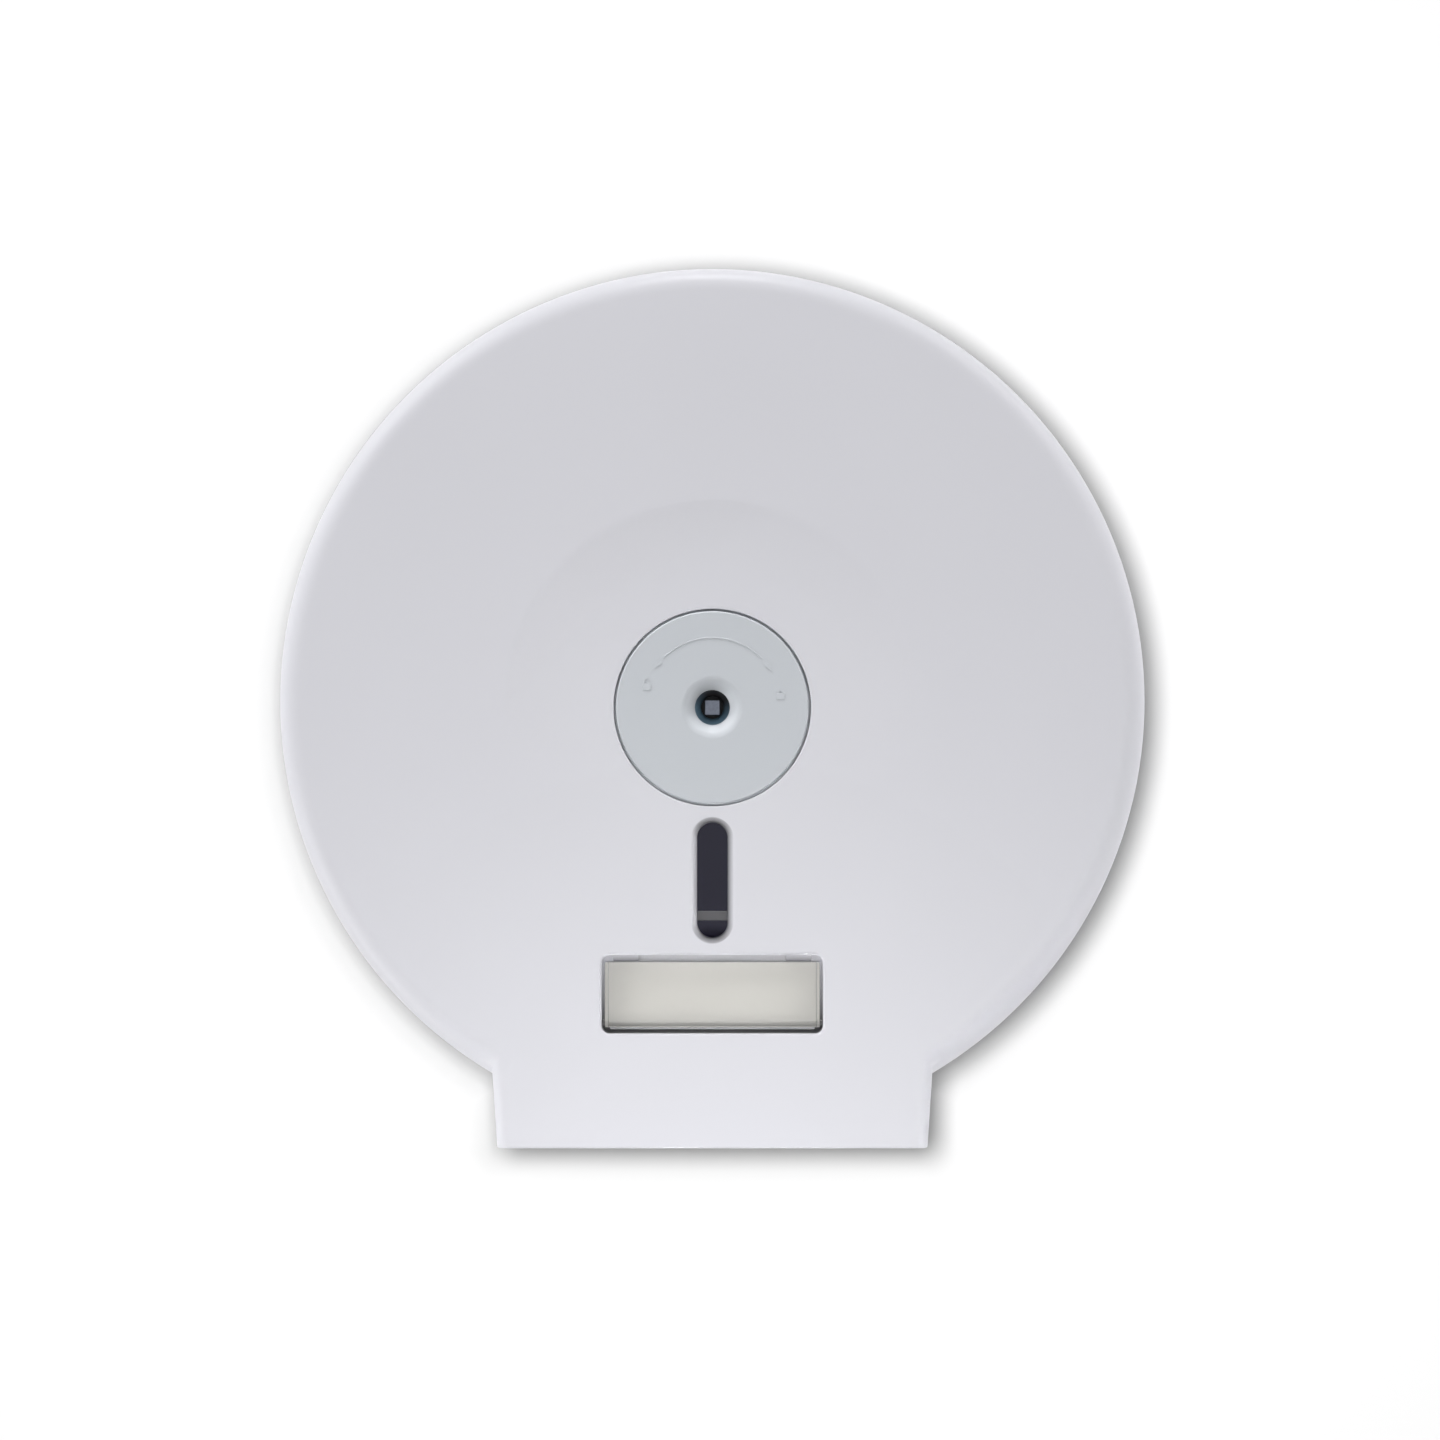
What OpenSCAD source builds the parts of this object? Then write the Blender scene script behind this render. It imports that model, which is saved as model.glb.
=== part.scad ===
// Jumbo toilet roll dispenser with a hinged drum cover and a key lock.
// Each piece is drawn lying on its back: x to the right, y up the wall and z out from the wall.
// The roll turns about the z axis, and on_wall() stands the finished piece up against the wall.

/* [Case] */
// Diameter of the round drum
case_d = 270; // [250:1:300]
// How far the drum's centre lies above the roll's axis
case_rise = 2; // [0:0.5:6]
// Distance from the wall to the flat front face
case_depth = 122; // [116:1:150]
// Thickness of the cover's side wall
case_wall = 2.5; // [2:0.1:3.5]
// Thickness of the cover's front wall
face_t = 3; // [2.5:0.1:4]
// Radius of the rounded front edge of the drum
rim_r = 5; // [4:0.5:8]

/* [Skirt] */
// Width of the skirt across its lower edge
skirt_w = 134; // [124:1:150]
// Distance from the roll's axis down to the skirt's lower edge
skirt_drop = 137; // [133:1:150]
// How far each side of the skirt leans out towards the drum, in degrees
skirt_lean = 3.7; // [0:0.1:6]
// Radius of the skirt's front side edges
skirt_edge_r = 3; // [2.6:0.1:4.5]

/* [Dish] */
// Radius of the shallow dish in the front face
dish_r = 64.3; // [50:0.1:75]
// Depth of the dish at its upper edge
dish_depth = 1.2; // [0.4:0.1:1.6]
// How far below the roll's axis the dish fades out into the face
dish_fade = 20; // [5:1:40]
// Width of the dish's sloping edge
dish_slope = 2; // [1:0.5:5]

/* [Lock disc] */
// Radius of the grey disc in the middle of the face
disc_r = 29.8; // [27:0.1:31]
// Width of the thin gap round the disc
disc_gap = 0.9; // [0.4:0.1:1.2]
// Thickness of the disc
disc_t = 3; // [2.4:0.1:3.4]
// How far the disc is sunk below the face
disc_sink = 0.4; // [0.1:0.1:0.6]
// How far the disc's rear flange grips behind the face
disc_grip = 1.5; // [1:0.1:1.7]
// Radius of the funnel's mouth
funnel_r = 8.6; // [7.5:0.1:11]
// Radius of the key hole
key_r = 5.45; // [4.6:0.05:5.9]
// Radius of the raised arc that shows which way the key turns
mark_r = 21.7; // [19:0.1:24]
// Height of the raised marks
mark_h = 0.25; // [0.1:0.05:0.4]

/* [Lock] */
// Distance from the face back to the front of the strike plate
lock_reach = 22; // [21:0.5:28]
// Width of the square drive post across its flats
drive_w = 4.8; // [4:0.1:5.6]
// Outer radius of the turning barrel
barrel_r = 7.5; // [7:0.1:8.5]
// Radius of the barrel's front collar
collar_r = 9.8; // [9.4:0.1:11]
// Depth of the key hole inside the barrel
key_depth = 10; // [7:0.5:11]
// Distance from the disc's flange back to the rear of the lock housing
housing_h = 12.5; // [12:0.5:13]
// Thickness of the housing's rear plate
housing_t = 2.5; // [2:0.1:4]
// Radius of the circle of the housing's three screws
lock_screw_at = 41; // [38:0.5:46]
// Radius of the lock shaft
shaft_r = 3.5; // [3:0.1:3.8]
// Length of the lock bar
bar_l = 16; // [14:0.5:20]
// Width of the lock bar
bar_w = 6; // [5:0.5:6.5]
// Thickness of the lock bar
bar_t = 2; // [1.5:0.1:3]
// Radius of the spring's wire
spring_wire_r = 0.5; // [0.35:0.05:0.5]
// Turns of the lock spring
spring_turns = 3; // [2:1:3]

/* [Roll hub] */
// Outer radius of the hub that carries the roll's core
hub_r = 28; // [26:0.5:34]
// Radius of the flange behind the roll
hub_flange_r = 70; // [50:1:74]
// Thickness of the hub's flange
hub_flange_t = 3; // [2:0.5:5]
// Width of the flange's rim, which shows through the slot
flange_rim = 4; // [3:0.5:8]
// Width of the flange's spokes
spoke_w = 9; // [5:1:16]
// Thickness of the hub's wall
hub_wall = 2.5; // [2:0.1:3]
// Outer radius of the fixed post inside the hub
post_r = 20; // [19:0.5:22]
// Thickness of the post's wall
post_wall = 3; // [2.5:0.1:4]
// Thickness of the thrust washer in front of the hub
washer_t = 1.4; // [1:0.1:2.5]
// Thickness of the steel strike plate
strike_t = 1.5; // [1:0.1:2.5]
// Depth of the pocket behind the strike plate
pocket_depth = 15; // [12:1:25]

/* [Back plate] */
// Thickness of the back plate
plate_t = 3; // [2.5:0.1:4]
// Gap seen between the back plate and the cover
shadow_gap = 1; // [0.6:0.1:2]
// Height of the rim that the cover closes over
rim_h = 12; // [6:1:14]
// Thickness of the rim
rim_t = 2.5; // [2:0.1:3.5]
// Height of the pad that carries the post
pad_h = 8; // [7.5:0.5:10]
// Distance between the wall screws, across and down
wall_pitch = 120; // [112:1:130]
// Radius of the four wall screw holes
wall_hole_r = 2.6; // [2:0.1:3.2]
// Height of the back plate's stiffening ribs above its front
plate_rib_h = 2.5; // [1:0.5:4]

/* [Hinge] */
// Distance of the hinge axis from the cover's lower and rear edges
hinge_inset = 10; // [9:0.5:12]
// Radius of the hinge pins
pin_r = 2.5; // [2:0.1:3]
// Width of each hinge ear on the back plate
ear_w = 5.5; // [4:0.5:8]
// Radius of the hinge ears
ear_r = 6.5; // [5.5:0.1:8]
// Radius of the cover's hinge bosses
boss_r = 5.5; // [4.5:0.1:7]
// Length of the cover's hinge bosses inside the skirt wall
boss_l = 5; // [4:0.5:8]

/* [View slot] */
// How far the slot's centre lies below the roll's axis
slot_down = 53.7; // [53:0.1:54.5]
// Width of the slot
slot_w = 9.5; // [8:0.1:11]
// Height of the slot
slot_h = 35.8; // [24:0.1:36.5]
// Radius of the slot's rounded lip
slot_lip = 1.5; // [0.5:0.1:2]
// Thickness of the smoked window's flange
window_t = 1.5; // [1:0.1:2.5]
// Width of the smoked window's flange
window_edge = 1.2; // [0.8:0.1:1.4]

/* [Label window] */
// Width of the label recess
label_w = 68.8; // [60:0.1:80]
// Height of the label recess
label_h = 24.3; // [22:0.1:27]
// How far the recess's upper edge lies below the roll's axis
label_down = 77; // [76.5:0.1:79]
// Corner radius of the recess
label_corner = 2.5; // [1.5:0.1:4]
// Radius of the recess's rounded lip
label_lip = 0.9; // [0.4:0.1:1.4]
// Depth of the recess
label_depth = 6.8; // [6:0.1:9]
// Thickness of the clear lens
lens_t = 1.6; // [1.2:0.1:2.4]
// Gap at each end of the lens
lens_gap = 0.9; // [0.5:0.1:1.5]
// Gap between the lens and the recess's upper edge
lens_top = 2.2; // [1.6:0.1:3]
// Gap between the lens and the recess's lower edge
lens_bottom = 2.3; // [2.1:0.1:3]
// How far the lens is sunk below the face
lens_sink = 0.8; // [0.3:0.1:1.2]
// Width of the thumb scoop above the lens
scoop_w = 45.6; // [30:0.1:50]
// Thickness of the label card
card_t = 0.5; // [0.3:0.1:1]

/* [Tear strips] */
// Length of each toothed strip
strip_l = 84; // [60:1:86]
// Thickness of the strips
strip_t = 0.8; // [0.5:0.1:1.5]
// Height of the strips with their teeth
strip_h = 12; // [10:0.5:14]
// Distance between two teeth
tooth_pitch = 2.5; // [2:0.1:5]
// Height of a tooth
tooth_h = 1.8; // [1:0.1:3]
// How far the teeth stay above the skirt's lower edge
tooth_up = 1; // [0.5:0.1:3]
// Thickness of the rail that carries a strip
rail_t = 3.5; // [3:0.1:5]

/* [Hidden] */
$fn = 96;

// Clearances
run_gap = 0.3;      // between pieces that move past each other
fixed_gap = 0.02;   // round a pin or screw that is held fast
turn_gap = 0.05;    // round a pin or barrel that turns
over = 1;           // how far a cut runs past the surface it opens

// Case
case_r = case_d / 2;
cover_back = plate_t + shadow_gap;
face_in = case_depth - face_t;
plate_inset = 0.5;
rim_clear = 0.8;
rim_out = case_r - case_wall - rim_clear;
rim_from = -30;     // the rim runs from here round the top, clear of the swinging cover
rim_sweep = 240;
skirt_up = 78;      // how far up the skirt's sides are drawn, inside the drum
skirt_reach = 85;   // depth of each half of the skirt towards the middle, past the centre line
skirt_low = 8;      // how far the skirt is drawn past its lower edge before it is cut level

// Hinge
hinge_y = -skirt_drop + hinge_inset;
hinge_z = cover_back + hinge_inset;
wall_gap = case_wall / cos(skirt_lean);
skirt_x = skirt_w / 2 + hinge_inset * tan(skirt_lean);    // outer half width at the hinge axis
boss_x = skirt_x - wall_gap - boss_l;                     // inner end of a boss
boss_root = skirt_x - wall_gap / 2;                       // outer end of a boss, inside the wall
pin_end = boss_root - 0.8;
ear_out = boss_x - run_gap - 0.1;
ear_in = ear_out - ear_w;
ear_block = ear_r * 1.8;
pin_head_r = pin_r + 1.5;
pin_head_t = 1.5;

// Post and hub
post_flange_t = 3;
post_flange_r = post_r + 12;
pad_r = post_flange_r + 3;
post_base = pad_h;
post_front = case_depth - lock_reach - strike_t;
post_screw_at = post_r + 6;
post_screw_r = 1.9;
post_screw_l = pad_h + post_flange_t - 2;
post_head_r = 3.8;
post_head_t = 2;
hub_back = pad_h + post_flange_t + run_gap;
hub_front = post_front - washer_t - run_gap;
hub_play = 0.5;     // the hub runs loose on its post
hub_bore = post_r + hub_play;
hub_nose = 1.5;     // lead-in slope at the hub's front end
hub_grooves = 6;
groove_first = 22.5;
groove_w = 3;
groove_d = 0.8;
web_t = 2;          // webs between the hub's two tubes

// Strike plate
strike_r = post_r + 3;
strike_screw_at = post_r - 5;
strike_screw_r = 1.25;
strike_boss_r = 3.2;
strike_head_r = 2.4;
strike_head_t = 1.3;
strike_screw_l = 8;
bar_clear = 1;
key_slot_w = max(bar_w, 2 * shaft_r) + 1.5;
key_slot_drop = 5;  // the bar's tip drops this far while the cover swings it out
key_slot_top = bar_l / 2 + bar_clear;
key_slot_bottom = bar_l / 2 + key_slot_drop;

// Lock
disc_hole = disc_r + disc_gap;
disc_flange_r = disc_hole + disc_grip;
disc_flange_t = 2;
disc_front = case_depth - disc_sink;
disc_back = disc_front - disc_t;
disc_seat = face_in - disc_flange_t;
disc_ring_in = disc_r - 4;
funnel_depth = 2.2;
housing_back = disc_seat - housing_h;
housing_front = housing_back + housing_t;
housing_out = disc_flange_r - 1.2;
housing_in = housing_out - 2.5;
barrel_front = disc_back - run_gap;
collar_t = 1.4;
collar_back = barrel_front - collar_t;
barrel_floor = barrel_front - key_depth;
hub_tube_r = barrel_r + 3;
hub_tube_front = housing_back + 6.5;
clip_t = 1.2;
clip_front = housing_back - run_gap;
clip_r = barrel_r + 2;
neck_r = barrel_r - 1.5;
neck_back = clip_front - clip_t - 1.5;
lug_r = 5;
lock_boss_r = 4;
lock_screw_r = 1.6;
lock_screw_l = 11;
lock_head_r = 3;
lock_head_t = 1.8;
bar_front = post_front - run_gap;
bar_back = bar_front - bar_t;
stem_r = 1.9;        // the shaft's stem through the bar and the nut
nut_t = 3.2;
nut_r = 3.9;
shaft_end = bar_back - nut_t - 0.6;
drive_top = barrel_front - 1.1;
spring_r = barrel_r + 1.3;
spring_low = hub_tube_front + spring_wire_r;
spring_high = collar_back - run_gap - spring_wire_r;

// Wall screws
wall_boss_r = 8;
wall_boss_h = 3;
wall_sink_r = 5;
wall_sink_t = 2.5;

// View slot and label recess
window_gap = 0.15;
frame_w = 1.4;
window_boss = 0.6;
tray_wall = 2;
tray_floor = 1.5;
label_y = -label_down - label_h / 2;
label_floor = case_depth - label_depth;
lens_w = label_w - 2 * lens_gap;
lens_high = -label_down - lens_top;
lens_low = -label_down - label_h + lens_bottom;
lens_front = case_depth - lens_sink;
lens_back = lens_front - lens_t;
lens_leg_t = 1.2;
lens_leg_back = label_floor + card_t + run_gap + 0.6;
trunnion_r = 1;
trunnion_l = 1.8;
trunnion_y = lens_low + trunnion_r;
trunnion_z = lens_back - 0.5;
card_edge = 1.2;
ledge_l = 8;
ledge_sink = 0.5;

// Tear strips
strip_front_gap = 3;
strip_back = face_in - strip_front_gap - strip_l;
strip_face = -case_wall - rail_t;      // measured inwards from the skirt's outer surface
screw_up = tooth_up + strip_h - 4;
strip_screw_in = 12;                   // from a strip's end to its screw
strip_screw_r = 1.4;
strip_screw_l = 4.6;
strip_head_r = 2.6;
strip_head_t = 1.4;

cover_grey = [0.87, 0.87, 0.89];
plate_grey = [0.80, 0.80, 0.82];
disc_grey = [0.76, 0.78, 0.79];
steel = [0.72, 0.72, 0.73];
black = [0.08, 0.09, 0.11];

module on_wall() {
    rotate([90, 0, 0]) children();
}

// The frame of one side of the skirt: x is out from its outer surface, y is up from its lower edge.
module skirt_side(side) {
    flip = side < 0 ? 1 : 0;
    mirror([flip, 0, 0])
        translate([skirt_w / 2, -skirt_drop, 0])
            rotate([0, 0, -skirt_lean])
                children();
}

// Half of an upright section: straight inside at x = 0 and rounded at its outer front corner.
module rounded_section(wide, back, front, r) {
    square_h = front - back - r;
    translate([0, back]) square([wide - r, front - back]);
    translate([0, back]) square([wide, square_h]);
    translate([wide - r, front - r]) circle(r);
}

module case_form(inset, back, front, low) {
    translate([0, case_rise, 0])
        rotate_extrude($fn = 180)
            rounded_section(case_r - inset, back, front, max(rim_r - inset, 0.5));
    for (side = [-1, 1])
        skirt_side(side)
            translate([0, skirt_up, 0])
                rotate([90, 0, 0])
                    linear_extrude(skirt_up + low)
                        translate([-inset - skirt_reach, 0])
                            rounded_section(skirt_reach, back, front, max(skirt_edge_r - inset, 0.5));
}

// The cutter for a rounded rectangular mouth with a rounded lip, reaching down to floor_z.
module mouth(w, h, corner, lip, floor_z) {
    half_w = w / 2 - corner;
    half_h = h / 2 - corner;
    top = case_depth - lip;
    linear_extrude(top - floor_z) rounded_rect(w, h, corner);
    translate([0, 0, top - floor_z]) {
        if (half_w > 0.01)
            translate([-half_w, -half_h, 0]) cube([2 * half_w, 2 * half_h, lip + over]);
        for (end = [-1, 1]) {
            translate([end * half_w, 0, 0])
                rotate([90, 0, end < 0 ? 180 : 0])
                    linear_extrude(2 * half_h, center = true) lip_section(corner, lip);
            if (half_w > 0.01)
                translate([0, end * half_h, 0])
                    rotate([90, 0, end < 0 ? -90 : 90])
                        linear_extrude(2 * half_w, center = true) lip_section(corner, lip);
            for (up = [-1, 1])
                translate([end * half_w, up * half_h, 0])
                    rotate([0, 0, end > 0 ? (up > 0 ? 0 : -90) : (up > 0 ? 90 : 180)])
                        rotate_extrude(angle = 90) lip_section(corner, lip);
        }
    }
}

module lip_section(corner, lip) {
    difference() {
        square([corner + lip, lip + over]);
        translate([corner + lip, 0]) circle(lip);
    }
}

module rounded_rect(w, h, r) {
    half_w = w / 2 - r;
    half_h = h / 2 - r;
    if (half_w > 0.01)
        square([2 * half_w, h], center = true);
    square([w, 2 * half_h], center = true);
    for (sx = [-1, 1])
        for (sy = [-1, 1])
            translate([sx * half_w, sy * half_h]) circle(r);
}

module ring(outer, inner, h) {
    difference() {
        cylinder(r = outer, h = h);
        translate([0, 0, -over]) cylinder(r = inner, h = h + 2 * over);
    }
}

// Copies its children round the roll's axis.
module around(count, radius, first) {
    for (i = [0:count - 1])
        rotate([0, 0, first + i * 360 / count])
            translate([radius, 0, 0])
                children();
}

// A pan-headed screw that stands on z = 0 with its head above and its shank below.
module pan_screw(shank_r, length, head_r, head_t) {
    difference() {
        union() {
            cylinder(r = head_r, h = head_t * 0.6);
            translate([0, 0, head_t * 0.6]) cylinder(r1 = head_r, r2 = head_r * 0.7, h = head_t * 0.4);
            translate([0, 0, -length]) cylinder(r = shank_r, h = length + 0.1);
        }
        cross_slot(head_r, head_t);
    }
}

module cross_slot(head_r, head_t) {
    slot_w = head_r * 0.28;
    for (turn = [0, 90])
        rotate([0, 0, turn])
            translate([-head_r * 0.6, -slot_w / 2, head_t * 0.45])
                cube([head_r * 1.2, slot_w, head_t]);
}

module plate_outline() {
    low_y = -skirt_drop + plate_inset;
    low_half = skirt_w / 2 - plate_inset;
    high_half = low_half + skirt_up * tan(skirt_lean);
    intersection() {
        translate([0, case_rise]) circle(case_r - plate_inset, $fn = 180);
        translate([-case_d, low_y]) square([2 * case_d, skirt_drop + case_d]);
    }
    polygon([
        [-low_half, low_y],
        [low_half, low_y],
        [high_half, low_y + skirt_up],
        [-high_half, low_y + skirt_up]
    ]);
}

module wall_corners() {
    for (sx = [-1, 1])
        for (sy = [-1, 1])
            translate([sx * wall_pitch / 2, sy * wall_pitch / 2, 0])
                children();
}

module hinge_ear(side) {
    translate([side * (ear_in + ear_w / 2), hinge_y, 0]) {
        translate([0, 0, hinge_z])
            rotate([0, 90, 0])
                cylinder(r = ear_r, h = ear_w, center = true);
        translate([-ear_w / 2, -ear_block / 2, plate_t - 0.1])
            cube([ear_w, ear_block, hinge_z - plate_t + 0.1]);
    }
}

module back_plate() {
    color(plate_grey)
        on_wall()
            difference() {
                union() {
                    linear_extrude(plate_t) plate_outline();
                    cylinder(r = pad_r, h = pad_h);
                    translate([0, case_rise, plate_t - 0.1])
                        rotate([0, 0, rim_from])
                            rotate_extrude(angle = rim_sweep, $fn = 180)
                                translate([rim_out - rim_t, 0])
                                    square([rim_t, rim_h + 0.1]);
                    wall_corners() cylinder(r = wall_boss_r, h = plate_t + wall_boss_h);
                    plate_ribs();
                    for (side = [-1, 1])
                        hinge_ear(side);
                }
                wall_corners() {
                    translate([0, 0, -over])
                        cylinder(r = wall_hole_r, h = plate_t + wall_boss_h + 2 * over);
                    translate([0, 0, plate_t + wall_boss_h - wall_sink_t])
                        cylinder(r = wall_sink_r, h = wall_sink_t + over);
                }
                translate([0, hinge_y, hinge_z])
                    rotate([0, 90, 0])
                        cylinder(r = pin_r + fixed_gap, h = skirt_w, center = true);
                around(4, post_screw_at, 45)
                    translate([0, 0, pad_h + post_flange_t - post_screw_l - 0.5])
                        cylinder(r = post_screw_r + fixed_gap, h = post_screw_l + over);
            }
}

// Eight low ribs that run from the pad out to the rim.
module plate_ribs() {
    rib_w = 2.4;
    rib_from = pad_r - 1;
    rib_to = rim_out - rim_t - case_rise - 2;
    for (i = [0:7])
        rotate([0, 0, 22.5 + i * 45])
            translate([rib_from, -rib_w / 2, plate_t - 0.1])
                cube([rib_to - rib_from, rib_w, plate_rib_h + 0.1]);
}

module spindle_post() {
    pocket_floor = post_front - pocket_depth;
    color(plate_grey)
        on_wall()
            difference() {
                union() {
                    translate([0, 0, post_base]) cylinder(r = post_flange_r, h = post_flange_t);
                    difference() {
                        translate([0, 0, post_base]) cylinder(r = post_r, h = post_front - post_base);
                        translate([0, 0, pocket_floor])
                            cylinder(r = post_r - post_wall, h = pocket_depth + over);
                    }
                    around(3, strike_screw_at, 90)
                        translate([0, 0, pocket_floor - 0.1])
                            cylinder(r = strike_boss_r, h = pocket_depth + 0.1);
                }
                translate([0, 0, post_base - over])
                    cylinder(r = post_r - post_wall, h = pocket_floor - post_wall - post_base + over);
                around(3, strike_screw_at, 90)
                    translate([0, 0, post_front - strike_screw_l])
                        cylinder(r = strike_screw_r + fixed_gap, h = strike_screw_l + over);
                around(4, post_screw_at, 45) {
                    translate([0, 0, post_base - over])
                        cylinder(r = post_screw_r + 0.2, h = post_flange_t + 2 * over);
                    translate([0, 0, post_base + post_flange_t - post_head_t])
                        cylinder(r1 = post_screw_r + 0.2, r2 = post_head_r + 0.2, h = post_head_t);
                    translate([0, 0, post_base + post_flange_t])
                        cylinder(r = post_head_r + 0.2, h = over);
                }
            }
}

module post_screws() {
    head_top = post_base + post_flange_t - 0.1;
    color(steel)
        on_wall()
            around(4, post_screw_at, 45)
                difference() {
                    union() {
                        translate([0, 0, head_top - post_head_t])
                            cylinder(r1 = post_screw_r, r2 = post_head_r, h = post_head_t);
                        translate([0, 0, head_top - post_screw_l])
                            cylinder(r = post_screw_r, h = post_screw_l - post_head_t + 0.1);
                    }
                    translate([0, 0, head_top - post_head_t]) cross_slot(post_head_r, post_head_t);
                }
}

module strike_plate() {
    color(steel)
        on_wall()
            translate([0, 0, post_front])
                difference() {
                    cylinder(r = strike_r, h = strike_t);
                    translate([-key_slot_w / 2, -key_slot_bottom, -over])
                        cube([key_slot_w, key_slot_top + key_slot_bottom, strike_t + 2 * over]);
                    around(3, strike_screw_at, 90)
                        translate([0, 0, -over])
                            cylinder(r = strike_screw_r + 0.2, h = strike_t + 2 * over);
                }
}

module strike_screws() {
    color(steel)
        on_wall()
            around(3, strike_screw_at, 90)
                translate([0, 0, post_front + strike_t])
                    pan_screw(strike_screw_r, strike_screw_l, strike_head_r, strike_head_t);
}

module hub_washer() {
    color("ivory")
        on_wall()
            translate([0, 0, post_front - washer_t])
                ring(strike_r, post_r + 0.1, washer_t);
}

module hinge_pin(side) {
    on_wall()
        translate([side * ear_in, hinge_y, hinge_z])
            rotate([0, side * 90, 0]) {
                cylinder(r = pin_r, h = pin_end - ear_in);
                translate([0, 0, -pin_head_t]) cylinder(r = pin_head_r, h = pin_head_t);
            }
}

module hinge_pin_left() {
    color(steel) hinge_pin(-1);
}

module hinge_pin_right() {
    color(steel) hinge_pin(1);
}

module roll_hub() {
    tube_in = hub_r - hub_wall;
    sleeve_out = hub_bore + hub_wall;
    color("whitesmoke")
        on_wall()
            difference() {
                union() {
                    translate([0, 0, hub_back]) cylinder(r = hub_flange_r, h = hub_flange_t);
                    translate([0, 0, hub_back]) cylinder(r = hub_r, h = hub_front - hub_back - hub_nose);
                    translate([0, 0, hub_front - hub_nose])
                        cylinder(r1 = hub_r, r2 = hub_r - hub_nose, h = hub_nose);
                }
                translate([0, 0, hub_back - over])
                    cylinder(r = hub_bore, h = hub_front - hub_back + 2 * over);
                translate([0, 0, hub_back + hub_flange_t])
                    difference() {
                        cylinder(r = tube_in, h = hub_front - hub_back);
                        translate([0, 0, -over])
                            cylinder(r = sleeve_out, h = hub_front - hub_back + 2 * over);
                        for (i = [0:5])
                            rotate([0, 0, i * 60])
                                translate([0, -web_t / 2, -over])
                                    cube([hub_r, web_t, hub_front - hub_back + 2 * over]);
                    }
                around(hub_grooves, hub_r, groove_first)
                    translate([-groove_d, -groove_w / 2, hub_back + hub_flange_t + 4])
                        cube([groove_d + over, groove_w, hub_front - hub_back]);
                translate([0, 0, hub_back - over]) flange_windows();
            }
}

// Six openings between the flange's spokes.
module flange_windows() {
    cut_h = hub_flange_t + 2 * over;
    difference() {
        ring(hub_flange_r - flange_rim, hub_r + flange_rim, cut_h);
        for (i = [0:5])
            rotate([0, 0, i * 60])
                translate([0, -spoke_w / 2, -over])
                    cube([hub_flange_r, spoke_w, cut_h + 2 * over]);
    }
}

// The shallow dish: a cone cut by a plane that meets the face below the middle.
module dish_cut() {
    tilt = atan(dish_depth / (dish_r + dish_fade));
    intersection() {
        translate([0, 0, case_depth - dish_depth])
            cylinder(r1 = dish_r - dish_slope, r2 = dish_r, h = dish_depth, $fn = 180);
        translate([0, -dish_fade, case_depth])
            rotate([-tilt, 0, 0])
                translate([-dish_r - over, 0, 0])
                    cube([2 * (dish_r + over), 2 * dish_r + dish_fade, 2 * dish_depth + over]);
    }
    translate([0, 0, case_depth])
        difference() {
            cylinder(r = dish_r, h = over / 2, $fn = 180);
            translate([-dish_r - over, -2 * dish_r - dish_fade, -over])
                cube([2 * (dish_r + over), 2 * dish_r, 2 * over]);
        }
}

module front_cover() {
    color(cover_grey)
        on_wall()
            difference() {
                union() {
                    cover_shell();
                    cover_inside();
                }
                cover_cuts();
            }
}

module cover_shell() {
    difference() {
        intersection() {
            case_form(0, 0, case_depth, skirt_low);
            translate([-case_d, -skirt_drop, cover_back])
                cube([2 * case_d, skirt_drop + case_d, case_depth]);
        }
        case_form(case_wall, -over, face_in, 2 * skirt_low);
        difference() {
            translate([-case_r, -skirt_drop - over, cover_back - over])
                cube([case_d, hinge_inset + over, hinge_inset + over]);
            translate([-case_r - over, hinge_y, hinge_z])
                rotate([0, 90, 0])
                    cylinder(r = hinge_inset, h = case_d + 2 * over);
        }
    }
}

// What is moulded on the inside of the cover: hinge bosses, rails, screw bosses, window frame, tray, ribs.
module cover_inside() {
    for (side = [-1, 1]) {
        translate([side * (boss_x + boss_root) / 2, hinge_y, hinge_z])
            rotate([0, 90, 0])
                cylinder(r = boss_r, h = boss_root - boss_x, center = true);
        skirt_side(side)
            translate([strip_face, tooth_up + strip_h - 8, strip_back + 2])
                cube([rail_t + 0.3, 8, strip_l - 4]);
    }
    around(3, lock_screw_at, 90)
        translate([0, 0, housing_front])
            cylinder(r = lock_boss_r, h = face_in - housing_front + 0.3);
    window_rib_h = window_t + 1;
    translate([0, -slot_down, face_in - window_rib_h])
        linear_extrude(window_rib_h + 0.3)
            difference() {
                rounded_rect(window_w(frame_w), window_high(frame_w), window_w(frame_w) / 2);
                rounded_rect(window_w(0), window_high(0), window_w(0) / 2);
            }
    translate([-label_w / 2 - tray_wall, label_y - label_h / 2 - tray_wall, label_floor - tray_floor])
        cube([label_w + 2 * tray_wall, label_h + 2 * tray_wall, label_depth + tray_floor - face_t + 0.3]);
    cover_ribs();
}

function window_w(edge) = slot_w + 2 * (window_edge + window_gap + edge);
function window_high(edge) = slot_h + 2 * (window_edge + window_gap + edge);

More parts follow.
